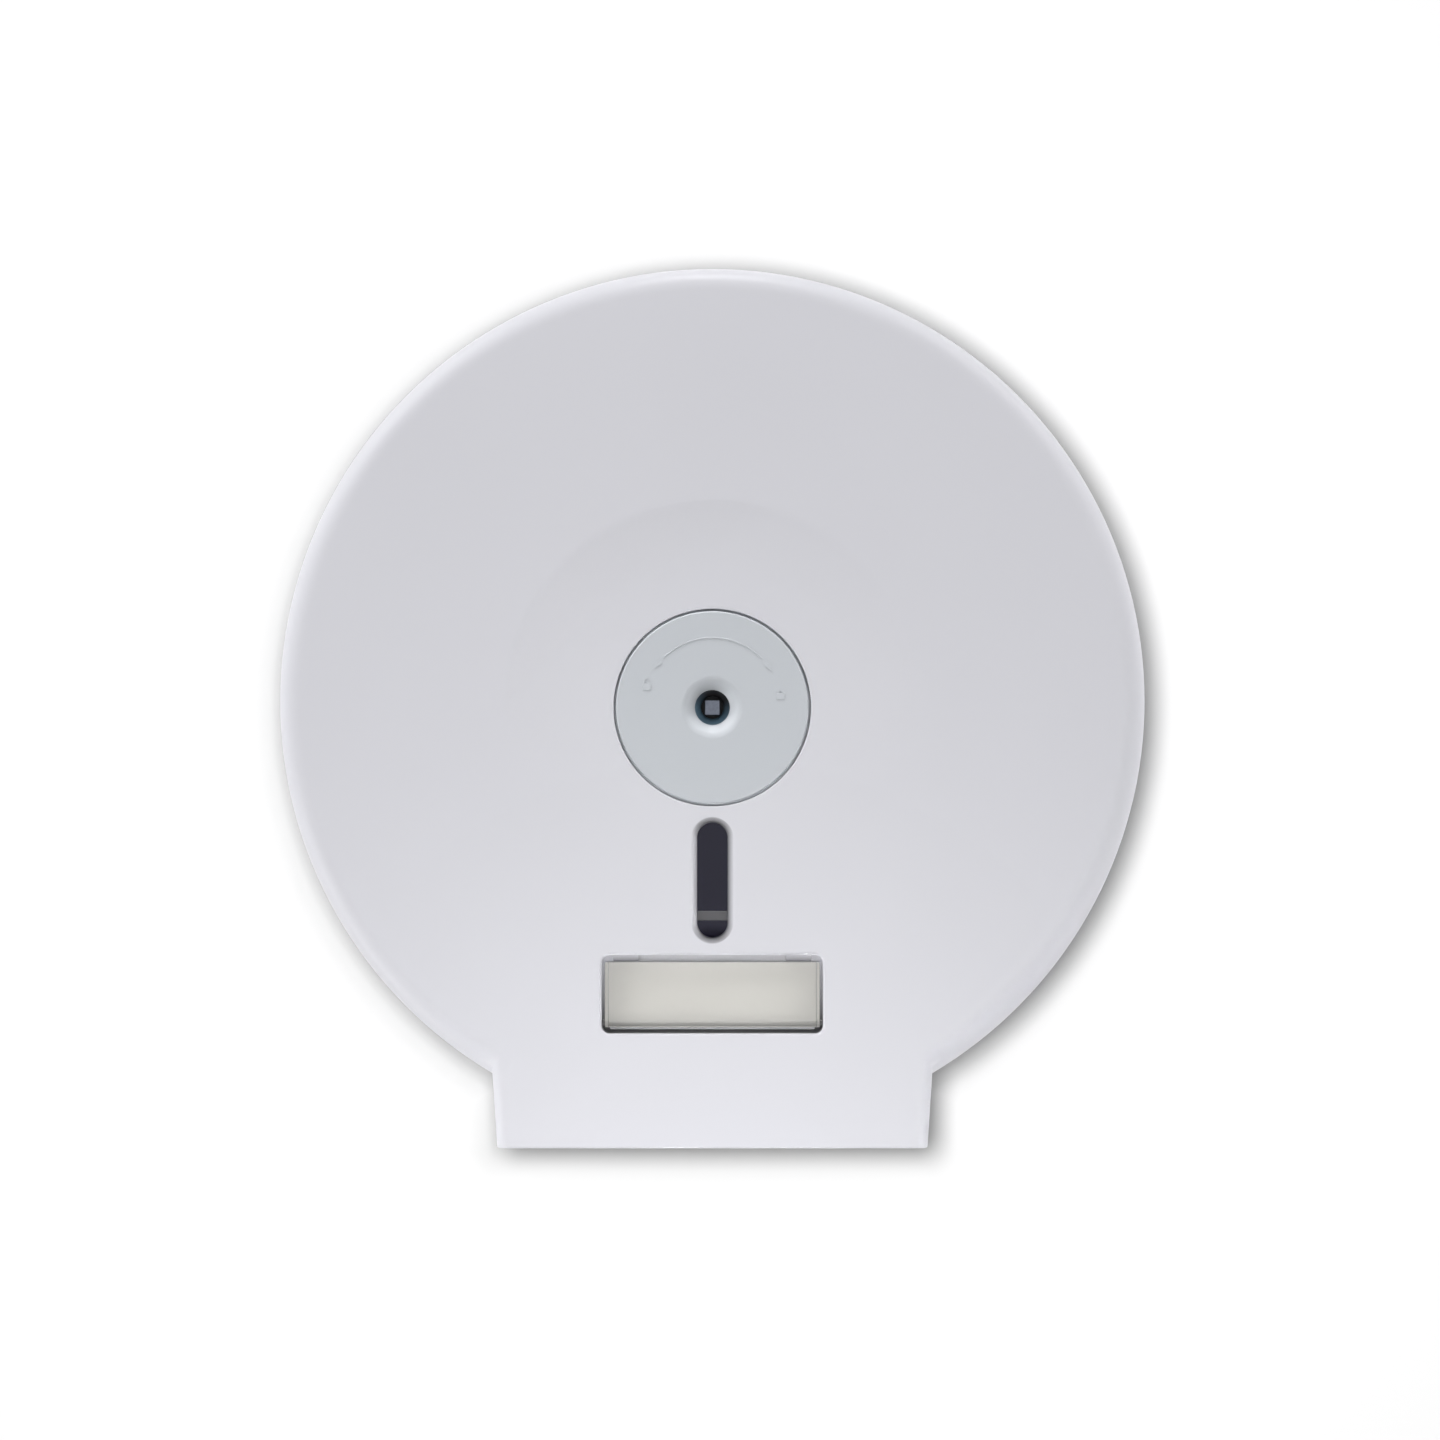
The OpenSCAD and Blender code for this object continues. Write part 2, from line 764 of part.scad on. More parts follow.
// Stiffening ribs behind the upper part of the face.
module cover_ribs() {
    rib_w = 1.6;
    rib_h = 4;
    rib_from = lock_screw_at - 1;
    rib_to = case_r - case_wall - case_rise + 0.5;
    for (turn = [-10, 30, 60, 90, 120, 150, 190])
        rotate([0, 0, turn])
            translate([rib_from, -rib_w / 2, face_in - rib_h])
                cube([rib_to - rib_from, rib_w, rib_h + 0.3]);
    translate([0, 0, face_in - rib_h])
        difference() {
            ring(rib_from + rib_w, rib_from, rib_h + 0.3);
            translate([-case_r, -case_r - slot_down / 2, -over])
                cube([case_d, case_r, rib_h + 2 * over]);
        }
}

module cover_cuts() {
    dish_cut();
    translate([0, 0, face_in - over]) cylinder(r = disc_hole, h = face_t + 2 * over);
    translate([0, -slot_down, face_in - over])
        mouth(slot_w, slot_h, slot_w / 2, slot_lip, face_in - over);
    difference() {
        translate([0, label_y, label_floor])
            mouth(label_w, label_h, label_corner, label_lip, label_floor);
        label_ledges();
    }
    translate([-lens_w / 2 + 1, label_y - label_h / 2, label_floor - tray_floor - over])
        cube([lens_w - 2, lens_bottom, tray_floor + 2 * over]);
    for (side = [-1, 1]) {
        translate([side * label_w / 2, trunnion_y, trunnion_z])
            rotate([0, side * 90, 0])
                translate([0, 0, -over])
                    cylinder(r = trunnion_r + turn_gap, h = trunnion_l - lens_gap + 0.3 + over);
        translate([side * boss_x, hinge_y, hinge_z])
            rotate([0, side * 90, 0])
                translate([0, 0, -over])
                    cylinder(r = pin_r + turn_gap, h = pin_end - boss_x + run_gap + over);
        skirt_side(side)
            strip_screw_places()
                translate([0, 0, -strip_screw_l - 0.2])
                    cylinder(r = strip_screw_r + fixed_gap, h = strip_screw_l + over);
    }
    around(3, lock_screw_at, 90)
        translate([0, 0, housing_back - over])
            cylinder(r = lock_screw_r + fixed_gap, h = lock_screw_l + 0.5 + over);
}

// The two ledges and the sloping thumb scoop along the recess's upper edge.
module label_ledges() {
    edge_y = -label_down;
    ledge_h = lens_top - run_gap;
    scoop_low = lens_back;
    for (side = [-1, 1])
        translate([side * (scoop_w / 2 + ledge_l / 2) - ledge_l / 2, edge_y - ledge_h, scoop_low])
            cube([ledge_l, ledge_h + label_lip + over, case_depth - ledge_sink - scoop_low]);
    translate([-scoop_w / 2, 0, 0])
        rotate([90, 0, 90])
            linear_extrude(scoop_w)
                polygon([
                    [edge_y - ledge_h, scoop_low],
                    [edge_y + label_lip, scoop_low],
                    [edge_y + label_lip, case_depth],
                    [edge_y + label_lip - 0.3, case_depth]
                ]);
}

module view_window() {
    w = slot_w + 2 * window_edge;
    h = slot_h + 2 * window_edge;
    boss_w = slot_w - 2 * window_gap;
    boss_h = slot_h - 2 * window_gap;
    color([0.15, 0.15, 0.18, 0.6])
        on_wall()
            translate([0, -slot_down, face_in - window_t]) {
                linear_extrude(window_t) rounded_rect(w, h, w / 2);
                linear_extrude(window_t + window_boss) rounded_rect(boss_w, boss_h, boss_w / 2);
            }
}

module lock_disc() {
    color(disc_grey)
        on_wall() {
            difference() {
                union() {
                    translate([0, 0, disc_seat]) cylinder(r = disc_flange_r, h = disc_flange_t);
                    translate([0, 0, disc_seat]) cylinder(r = disc_r, h = disc_front - disc_seat);
                }
                translate([0, 0, disc_seat - over])
                    cylinder(r = disc_ring_in, h = disc_back - disc_seat + over);
                translate([0, 0, disc_front - funnel_depth])
                    cylinder(r1 = key_r, r2 = funnel_r, h = funnel_depth);
                translate([0, 0, disc_front]) cylinder(r = funnel_r, h = over);
                translate([0, 0, disc_back - over]) cylinder(r = key_r, h = disc_t + over);
            }
            lock_marks();
        }
}

// Raised marks: an arc with two arrow heads, and an open and a closed padlock.
module lock_marks() {
    arc_from = 45;
    arc_to = 134;
    open_at = 160;
    closed_at = 12;
    line = 0.5;
    sink = 0.1;
    head_l = 1.9;
    translate([0, 0, disc_front - sink]) {
        rotate([0, 0, arc_from])
            rotate_extrude(angle = arc_to - arc_from)
                translate([mark_r - line / 2, 0])
                    square([line, mark_h + sink]);
        for (side = [-1, 1])
            rotate([0, 0, side < 0 ? arc_from - 9 : arc_to + 7])
                translate([mark_r, 0, 0])
                    linear_extrude(mark_h + sink)
                        polygon([
                            [0, side * head_l],
                            [-head_l / 2, -side * head_l / 2],
                            [head_l / 2, -side * head_l / 2]
                        ]);
        padlock(open_at, 0.9);
        padlock(closed_at, 0);
    }
}

module padlock(turn, lift) {
    body_w = 2.6;
    body_h = 2;
    line = 0.45;
    translate([mark_r * cos(turn), mark_r * sin(turn), 0])
        linear_extrude(mark_h + 0.1) {
            translate([-body_w / 2, -body_h]) square([body_w, body_h]);
            translate([0, lift])
                difference() {
                    circle(body_w / 2 - 0.25);
                    circle(body_w / 2 - 0.25 - line);
                    translate([-body_w, -2 * body_w]) square([2 * body_w, 2 * body_w]);
                }
            if (lift > 0)
                translate([-body_w / 2 + 0.25, -0.1]) square([line, lift + 0.2]);
        }
}

module lock_housing() {
    color("dimgray")
        on_wall()
            difference() {
                union() {
                    translate([0, 0, housing_back]) {
                        cylinder(r = housing_out, h = housing_t);
                        cylinder(r = hub_tube_r, h = hub_tube_front - housing_back);
                        around(3, lock_screw_at, 90) {
                            cylinder(r = lug_r, h = housing_t);
                            translate([-lock_screw_at + housing_in, -lug_r * 0.8, 0])
                                cube([lock_screw_at - housing_in, lug_r * 1.6, housing_t]);
                        }
                    }
                    translate([0, 0, housing_back]) ring(housing_out, housing_in, housing_h);
                }
                translate([0, 0, housing_back - over])
                    cylinder(r = barrel_r + turn_gap, h = housing_h + over);
                around(3, lock_screw_at, 90)
                    translate([0, 0, housing_back - over])
                        cylinder(r = lock_screw_r + 0.2, h = housing_t + 2 * over);
            }
}

module lock_screws() {
    color(steel)
        on_wall()
            around(3, lock_screw_at, 90)
                translate([0, 0, housing_back])
                    mirror([0, 0, 1])
                        pan_screw(lock_screw_r, lock_screw_l, lock_head_r, lock_head_t);
}

// One unbroken coil, as rings of points joined round a helix.
spring_rings = 8;
spring_sides = 6;
spring_steps = spring_turns * spring_rings;
spring_pitch = (spring_high - spring_low) / spring_turns;
function spring_point(step, side, wire) =
    let (turn = step * 360 / spring_rings, lap = side * 360 / spring_sides,
        out = spring_r + wire * cos(lap))
    [out * cos(turn), out * sin(turn), spring_low + spring_pitch * step / spring_rings + wire * sin(lap)];
function spring_points() =
    [for (step = [0:spring_steps], side = [0:spring_sides - 1]) spring_point(step, side, spring_wire_r)];
function wall_faces() =
    [for (step = [0:spring_steps - 1], side = [0:spring_sides - 1], half = [0, 1])
        let (a = step * spring_sides + side, b = step * spring_sides + (side + 1) % spring_sides,
            c = a + spring_sides, d = b + spring_sides)
        half == 0 ? [a, c, b] : [b, c, d]];
function end_faces() =
    let (last = spring_steps * spring_sides)
    concat([for (side = [1:spring_sides - 2]) [0, side, side + 1]],
        [for (side = [1:spring_sides - 2]) [last, last + side + 1, last + side]]);
echo(spring_self_gap = spring_pitch - 2 * spring_wire_r);

module lock_spring() {
    color(steel)
        on_wall()
            polyhedron(spring_points(), concat(wall_faces(), end_faces()));
}

module label_card() {
    high = lens_high - card_edge;
    low = lens_low + card_edge;
    wide = lens_w - 2 * (lens_leg_t + card_edge);
    color([0.82, 0.81, 0.79])
        on_wall()
            translate([-wide / 2, low, label_floor])
                cube([wide, high - low, card_t]);
}

// The places of a strip's two screws, with z pointing into the case.
module strip_screw_places() {
    for (z = [strip_back + strip_screw_in, strip_back + strip_l - strip_screw_in])
        translate([strip_face, screw_up, z])
            rotate([0, -90, 0])
                children();
}

module tear_strip(side) {
    teeth = floor(strip_l / tooth_pitch);
    first = (strip_l - teeth * tooth_pitch) / 2;
    on_wall()
        skirt_side(side)
            difference() {
                translate([strip_face, 0, strip_back])
                    rotate([0, -90, 0])
                        linear_extrude(strip_t)
                            polygon(concat(
                                [[0, tooth_up + strip_h], [0, tooth_up + tooth_h]],
                                [for (i = [0:teeth - 1], half = [0, 1])
                                    [first + (i + half / 2) * tooth_pitch, tooth_up + (1 - half) * tooth_h]],
                                [[strip_l - first, tooth_up + tooth_h], [strip_l, tooth_up + tooth_h],
                                    [strip_l, tooth_up + strip_h]]));
                strip_screw_places()
                    translate([0, 0, -over])
                        cylinder(r = strip_screw_r + 0.2, h = strip_t + 2 * over);
            }
}

module tear_strip_left() {
    color(steel) tear_strip(-1);
}

module tear_strip_right() {
    color(steel) tear_strip(1);
}

module tear_strip_screws() {
    color(steel)
        on_wall()
            for (side = [-1, 1])
                skirt_side(side)
                    strip_screw_places()
                        translate([0, 0, strip_t])
                            pan_screw(strip_screw_r, strip_screw_l + strip_t, strip_head_r, strip_head_t);
}

module label_window() {
    color([0.9, 0.9, 0.88, 0.4])
        on_wall() {
            translate([-lens_w / 2, lens_low, lens_back])
                cube([lens_w, lens_high - lens_low, lens_t]);
            for (side = [-1, 1]) {
                translate([side * (lens_w - lens_leg_t) / 2 - lens_leg_t / 2, lens_low, lens_leg_back])
                    cube([lens_leg_t, lens_high - lens_low, lens_back - lens_leg_back + 0.1]);
                translate([side * (lens_w / 2 - 0.2), trunnion_y, trunnion_z])
                    rotate([0, side * 90, 0])
                        cylinder(r = trunnion_r, h = trunnion_l + 0.2);
            }
        }
}

module lock_barrel() {
    color(black)
        on_wall()
            difference() {
                union() {
                    translate([0, 0, collar_back]) cylinder(r = collar_r, h = collar_t);
                    translate([0, 0, clip_front]) cylinder(r = barrel_r, h = collar_back - clip_front + 0.1);
                    translate([0, 0, neck_back]) cylinder(r = neck_r, h = clip_front - neck_back + 0.1);
                }
                translate([0, 0, barrel_floor]) cylinder(r = key_r, h = key_depth + over);
                translate([0, 0, neck_back - over])
                    cylinder(r = shaft_r + fixed_gap, h = barrel_floor - neck_back + 2 * over);
            }
}

module lock_shaft() {
    color("silver")
        on_wall() {
            translate([-drive_w / 2, -drive_w / 2, barrel_floor - 0.1])
                cube([drive_w, drive_w, drive_top - barrel_floor + 0.1]);
            translate([0, 0, bar_front]) cylinder(r = shaft_r, h = barrel_floor - bar_front);
            translate([0, 0, shaft_end]) cylinder(r = stem_r, h = bar_front - shaft_end + 0.1);
        }
}

module lock_bar() {
    color(steel)
        on_wall()
            translate([0, 0, bar_back])
                difference() {
                    translate([-bar_w / 2, -bar_l / 2, 0]) cube([bar_w, bar_l, bar_t]);
                    translate([0, 0, -over]) cylinder(r = stem_r + fixed_gap, h = bar_t + 2 * over);
                }
}

module lock_nut() {
    color(steel)
        on_wall()
            translate([0, 0, bar_back - nut_t])
                difference() {
                    cylinder(r = nut_r, h = nut_t, $fn = 6);
                    translate([0, 0, -over]) cylinder(r = stem_r + fixed_gap, h = nut_t + 2 * over);
                }
}

module lock_clip() {
    color(steel)
        on_wall()
            translate([0, 0, clip_front - clip_t])
                difference() {
                    ring(clip_r, neck_r + fixed_gap, clip_t);
                    translate([0, -neck_r / 3, -over])
                        cube([clip_r + over, neck_r / 1.5, clip_t + 2 * over]);
                }
}

back_plate();
spindle_post();
post_screws();
strike_plate();
strike_screws();
hub_washer();
hinge_pin_left();
hinge_pin_right();
roll_hub();
front_cover();
view_window();
lock_disc();
lock_housing();
lock_screws();
lock_spring();
label_card();
tear_strip_left();
tear_strip_right();
tear_strip_screws();
label_window();
lock_barrel();
lock_shaft();
lock_bar();
lock_nut();
lock_clip();
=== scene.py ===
from math import atan2, cos, pi, radians, sin, sqrt

import bmesh
import bpy
from mathutils import Matrix, Vector


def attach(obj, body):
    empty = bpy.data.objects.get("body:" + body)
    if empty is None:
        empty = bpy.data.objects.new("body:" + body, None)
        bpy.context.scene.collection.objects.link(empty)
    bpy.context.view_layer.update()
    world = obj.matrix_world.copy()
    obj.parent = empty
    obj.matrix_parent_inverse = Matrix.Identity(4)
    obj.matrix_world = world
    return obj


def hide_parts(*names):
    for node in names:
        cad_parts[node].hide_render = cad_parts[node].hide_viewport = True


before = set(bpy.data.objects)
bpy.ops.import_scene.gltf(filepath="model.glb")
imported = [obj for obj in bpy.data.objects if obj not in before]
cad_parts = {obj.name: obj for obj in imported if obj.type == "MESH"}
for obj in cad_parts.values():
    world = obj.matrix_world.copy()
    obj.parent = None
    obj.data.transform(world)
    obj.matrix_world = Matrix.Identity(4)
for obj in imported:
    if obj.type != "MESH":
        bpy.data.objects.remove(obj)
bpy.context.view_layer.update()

# The bench frame is the one that the pieces are drawn in: millimetres, x to the right, y up the wall
# and z out from the wall, with the roll's axis at x = y = 0.
STAND_UP = Matrix.Rotation(pi / 2, 4, "X") @ Matrix.Scale(0.001, 4)
LIE_DOWN = STAND_UP.inverted()


# Back plate
# The flat shell that is screwed to the wall, with the rim that the cover closes over.
# Injection-moulded ABS in a light grey, with ribs, a raised pad for the post and four screw bosses.
def linear(code):
    """The linear colour of an sRGB hex code."""
    parts = [int(code[i:i + 2], 16) / 255 for i in (1, 3, 5)]
    return [p / 12.92 if p <= 0.04045 else ((p + 0.055) / 1.055) ** 2.4 for p in parts] + [1.0]


def new_material(name):
    material = bpy.data.materials.new(name)
    material.use_nodes = True
    material.node_tree.nodes.clear()
    return material


def add_node(material, kind, sockets=None, **settings):
    """Adds a shader node, sets its settings and sockets, and links the sockets that are given an output."""
    node = material.node_tree.nodes.new(kind)
    for name, value in settings.items():
        setattr(node, name, value)
    for name, value in (sockets or {}).items():
        if isinstance(value, bpy.types.NodeSocket):
            material.node_tree.links.new(value, node.inputs[name])
        else:
            node.inputs[name].default_value = value
    return node


def worn_edges(material, radius_mm):
    """1 along the outer edges of a piece and 0 on its flats."""
    rounded = add_node(material, "ShaderNodeBevel", {"Radius": radius_mm / 1000}, samples=4)
    true = add_node(material, "ShaderNodeNewGeometry")
    match = add_node(material, "ShaderNodeVectorMath",
                     {0: rounded.outputs["Normal"], 1: true.outputs["Normal"]}, operation="DOT_PRODUCT")
    edge = add_node(material, "ShaderNodeMapRange",
                    {"Value": match.outputs["Value"], "From Min": 0.995, "From Max": 0.85})
    return edge.outputs["Result"]


def moulded_plastic(name, colour, gloss, grain_mm, grain_depth_mm, edge_colour, subsurface=0.0, painted_shade=0.0):
    """Dyed plastic from a mould: even colour, the mould's fine grain, and edges that are rubbed smoother.

    Painted shade: where the mesh carries a shade attribute, as in a narrow mouth, the last argument says how
    far that darkens the colour.
    """
    material = new_material(name)
    place = add_node(material, "ShaderNodeTexCoord").outputs["Object"]
    grain = add_node(material, "ShaderNodeTexNoise",
                     {"Vector": place, "Scale": 1000 / grain_mm, "Detail": 3.0, "Roughness": 0.6})
    flow = add_node(material, "ShaderNodeTexNoise",
                    {"Vector": place, "Scale": 1000 / 60, "Detail": 2.0, "Roughness": 0.4})
    edge = worn_edges(material, 0.4)
    darker = [part * 0.965 for part in linear(colour)[:3]] + [1.0]
    cloudy = add_node(material, "ShaderNodeMix",
                      {0: flow.outputs["Fac"], 6: linear(colour), 7: darker}, data_type="RGBA")
    rubbed = add_node(material, "ShaderNodeMath", {0: edge, 1: 0.35}, operation="MULTIPLY")
    base = add_node(material, "ShaderNodeMix",
                    {0: rubbed.outputs[0], 6: cloudy.outputs[2], 7: linear(edge_colour)}, data_type="RGBA")
    colour_out = base.outputs[2]
    # Painted shade: the shade attribute mixes the colour towards near black.
    if painted_shade:
        deep = add_node(material, "ShaderNodeAttribute", attribute_name="shade")
        amount = add_node(material, "ShaderNodeMath", {0: deep.outputs["Fac"], 1: painted_shade}, operation="MULTIPLY")
        painted_dark_colour = add_node(material, "ShaderNodeMix",
                         {0: amount.outputs[0], 6: colour_out, 7: linear("#1A1A1C")}, data_type="RGBA")
        colour_out = painted_dark_colour.outputs[2]
    satin = add_node(material, "ShaderNodeMapRange",
                     {"Value": grain.outputs["Fac"], "From Min": 0.3, "From Max": 0.7,
                      "To Min": gloss - 0.04, "To Max": gloss + 0.05})
    polished = add_node(material, "ShaderNodeMath",
                        {0: edge, 1: -0.08, 2: satin.outputs["Result"]}, operation="MULTIPLY_ADD")
    bump = add_node(material, "ShaderNodeBump",
                    {"Height": grain.outputs["Fac"], "Strength": 0.5, "Distance": grain_depth_mm / 1000})
    shader = add_node(material, "ShaderNodeBsdfPrincipled",
                      {"Base Color": colour_out, "Roughness": polished.outputs[0], "IOR": 1.53,
                       "Normal": bump.outputs["Normal"], "Subsurface Weight": subsurface,
                       "Subsurface Scale": 0.001})
    add_node(material, "ShaderNodeOutputMaterial", {"Surface": shader.outputs["BSDF"]})
    return material


def frame_copy(node):
    """A copy of a CAD node's mesh in the bench frame, merged, with its flat faces made whole."""
    bm = bmesh.new()
    bm.from_mesh(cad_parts[node].data)
    bm.transform(LIE_DOWN)
    bmesh.ops.remove_doubles(bm, verts=bm.verts, dist=0.002)
    bmesh.ops.dissolve_limit(bm, angle_limit=radians(0.4), use_dissolve_boundaries=False,
                             verts=bm.verts, edges=bm.edges)
    return bm


def soften(bm, width, steps=2, least=28, edges=None):
    """Rounds the edges that turn by more than the least angle, as a mould or a press leaves them."""
    chosen = [edge for edge in edges or bm.edges
              if len(edge.link_faces) == 2 and edge.calc_face_angle() > radians(least)]
    bmesh.ops.bevel(bm, geom=chosen, offset=width, offset_type="OFFSET", segments=steps, profile=0.5,
                    affect="EDGES", material=-1, clamp_overlap=True)


def make_piece(name, bm, material, sharp=38):
    """Stands a drawn mesh up in the frame as a new object, with smooth curves and crisp edges."""
    bm.transform(STAND_UP)
    for face in bm.faces:
        face.smooth = True
    for edge in bm.edges:
        edge.smooth = len(edge.link_faces) != 2 or edge.calc_face_angle() < radians(sharp)
    mesh = bpy.data.meshes.new(name)
    bm.to_mesh(mesh)
    bm.free()
    if "custom_normal" in mesh.attributes:
        mesh.attributes.remove(mesh.attributes["custom_normal"])
    mesh.materials.clear()
    mesh.materials.append(material)
    piece = bpy.data.objects.new(name, mesh)
    bpy.context.scene.collection.objects.link(piece)
    even = piece.modifiers.new("even_shading", "WEIGHTED_NORMAL")
    even.keep_sharp = True
    return piece


# Moulded ABS with a spark-eroded grain of about 0.15 mm, drawn at 0.35 mm so that it shows: a dry satin.
plate_abs = moulded_plastic("moulded_grey_abs", "#C8C9CC", 0.5, 0.35, 0.02, "#DADBDD")

bm = frame_copy("back_plate")
soften(bm, 0.35)
back_shell = make_piece("back_shell", bm, plate_abs)
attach(back_shell, "wall_unit")
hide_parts("back_plate")


# Post and its screws
# A hollow post of the same ABS that carries the roll, and four countersunk screws through its flange.
# The screws are steel with bright zinc plating.
def plated_metal(name, bright, dull, gloss, blotch_mm, scratch_mm):
    """Plated or bare metal: its colour with faint blotches, and fine handling scratches in the gloss."""
    material = new_material(name)
    place = add_node(material, "ShaderNodeTexCoord").outputs["Object"]
    blotch = add_node(material, "ShaderNodeTexNoise",
                      {"Vector": place, "Scale": 1000 / blotch_mm, "Detail": 3.0, "Roughness": 0.55})
    scratch = add_node(material, "ShaderNodeTexNoise",
                       {"Vector": place, "Scale": 1000 / scratch_mm, "Detail": 4.0, "Roughness": 0.7})
    edge = worn_edges(material, 0.25)
    patch = add_node(material, "ShaderNodeMapRange",
                     {"Value": blotch.outputs["Fac"], "From Min": 0.35, "From Max": 0.68})
    cover = add_node(material, "ShaderNodeMix",
                     {0: patch.outputs["Result"], 6: linear(bright), 7: linear(dull)}, data_type="RGBA")
    base = add_node(material, "ShaderNodeMix",
                    {0: edge, 6: cover.outputs[2], 7: linear(bright)}, data_type="RGBA")
    shine = add_node(material, "ShaderNodeMapRange",
                     {"Value": scratch.outputs["Fac"], "From Min": 0.3, "From Max": 0.7,
                      "To Min": gloss - 0.07, "To Max": gloss + 0.1})
    bump = add_node(material, "ShaderNodeBump",
                    {"Height": scratch.outputs["Fac"], "Strength": 0.4, "Distance": 0.00001})
    shader = add_node(material, "ShaderNodeBsdfPrincipled",
                      {"Base Color": base.outputs[2], "Metallic": 1.0, "Roughness": shine.outputs["Result"],
                       "Normal": bump.outputs["Normal"]})
    add_node(material, "ShaderNodeOutputMaterial", {"Surface": shader.outputs["BSDF"]})
    return material


bm = frame_copy("spindle_post")
soften(bm, 0.3)
post_tube = make_piece("post_tube", bm, plate_abs)
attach(post_tube, "wall_unit")
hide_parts("spindle_post")

# Bright zinc plating over steel: bluish silver with faint yellow patches.
zinc_plated = plated_metal("zinc_plated_steel_bright", "#D3D6DA", "#C6C2B4", 0.3, 2.5, 0.3)

bm = frame_copy("post_screws")
soften(bm, 0.12)
post_fixings = make_piece("post_fixings", bm, zinc_plated)
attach(post_fixings, "wall_unit")
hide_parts("post_screws")


# Roll hub and thrust washer
# The hub turns on the post and carries the roll's core; its wheel-like flange keeps the roll off the plate.
# Both are mouldings: the hub of white ABS, and the washer in front of it of natural nylon.

# White ABS left glossy, because paper has to slide over it.
hub_abs = moulded_plastic("moulded_white_abs", "#E4E4E2", 0.32, 0.5, 0.008, "#F0F0EE")

bm = frame_copy("roll_hub")
soften(bm, 0.35)
hub_wheel = make_piece("hub_wheel", bm, hub_abs)
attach(hub_wheel, "roll_hub")
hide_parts("roll_hub")

# Unfilled nylon: milky and a little waxy.
washer_nylon = moulded_plastic("natural_nylon", "#E3DFD0", 0.42, 0.4, 0.01, "#EDEADD", 0.15)

bm = frame_copy("hub_washer")
soften(bm, 0.2)
thrust_ring = make_piece("thrust_ring", bm, washer_nylon)
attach(thrust_ring, "wall_unit")
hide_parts("hub_washer")


# Strike plate and its screws
# A stamped disc of stainless steel on the post's end, with the slot that the lock bar catches behind.
# Three small pan-head screws hold it.
def brushed_steel(name, colour, gloss, line_mm):
    """Rolled stainless sheet: fine lines along x that spread the reflections across them."""
    material = new_material(name)
    place = add_node(material, "ShaderNodeTexCoord").outputs["Object"]
    drawn_out = add_node(material, "ShaderNodeMapping", {"Vector": place, "Scale": (0.03, 1.0, 1.0)})
    lines = add_node(material, "ShaderNodeTexNoise",
                     {"Vector": drawn_out.outputs["Vector"], "Scale": 1000 / line_mm, "Detail": 4.0,
                      "Roughness": 0.65})
    edge = worn_edges(material, 0.2)
    darker = [part * 0.82 for part in linear(colour)[:3]] + [1.0]
    streak = add_node(material, "ShaderNodeMix",
                      {0: lines.outputs["Fac"], 6: linear(colour), 7: darker}, data_type="RGBA")
    base = add_node(material, "ShaderNodeMix",
                    {0: edge, 6: streak.outputs[2], 7: linear("#E8E8E8")}, data_type="RGBA")
    shine = add_node(material, "ShaderNodeMapRange",
                     {"Value": lines.outputs["Fac"], "From Min": 0.3, "From Max": 0.7,
                      "To Min": gloss - 0.06, "To Max": gloss + 0.1})
    bump = add_node(material, "ShaderNodeBump",
                    {"Height": lines.outputs["Fac"], "Strength": 0.5, "Distance": 0.00001})
    shader = add_node(material, "ShaderNodeBsdfPrincipled",
                      {"Base Color": base.outputs[2], "Metallic": 1.0, "Roughness": shine.outputs["Result"],
                       "Normal": bump.outputs["Normal"]})
    add_node(material, "ShaderNodeOutputMaterial", {"Surface": shader.outputs["BSDF"]})
    return material


# Stainless sheet with its rolled finish: cool, clean, with fine lines.
stainless = brushed_steel("rolled_stainless_sheet", "#C9C9C8", 0.3, 0.15)

for node, width, body, slot, material in (
        ("strike_plate", 0.2, "wall_unit", "stainless_steel", stainless),
        ("strike_screws", 0.1, "wall_unit", "zinc_plated_steel", zinc_plated)):
    bm = frame_copy(node)
    soften(bm, width)
    piece = make_piece(node + "_made", bm, material)
    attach(piece, body)
    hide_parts(node)


# Hinge pins
# Two headed pins of zinc-plated steel, pressed through the ears of the back plate into the cover's bosses.
for node in ("hinge_pin_left", "hinge_pin_right"):
    bm = frame_copy(node)
    soften(bm, 0.3, 3)
    pin = make_piece(node + "_turned", bm, zinc_plated)
    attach(pin, "wall_unit")
    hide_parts(node)


# Front cover
# One moulding of white ABS: the drum with its rounded front edge, and the skirt below it, open underneath.
# The face has a shallow dish, a hole for the lock disc, the view slot and the recess for the label.
CASE_R = 134.96
CASE_RISE = 2.0
CASE_FRONT = 122.0
COVER_BACK = 4.0
WALL = 2.5
FACE_IN = 119.0
RIM_R = 6.5
RIM_IN_R = 2.5
SKIRT_W = 134.0
SKIRT_DROP = 137.0
SKIRT_LEAN = radians(3.7)
SKIRT_EDGE_R = 3.0
HINGE_Y = -127.0
HINGE_Z = 14.0
HINGE_INSET = 10.0
DISH_R = 64.3
DISH_DEPTH = 1.8
DISH_FADE = 20.0
DISH_BOWL = 33.0
DISH_FOOT = -21.0
DISC_HOLE = 30.7
FOOT_EDGE_R = 1.2
REAR_EDGE_R = 0.4


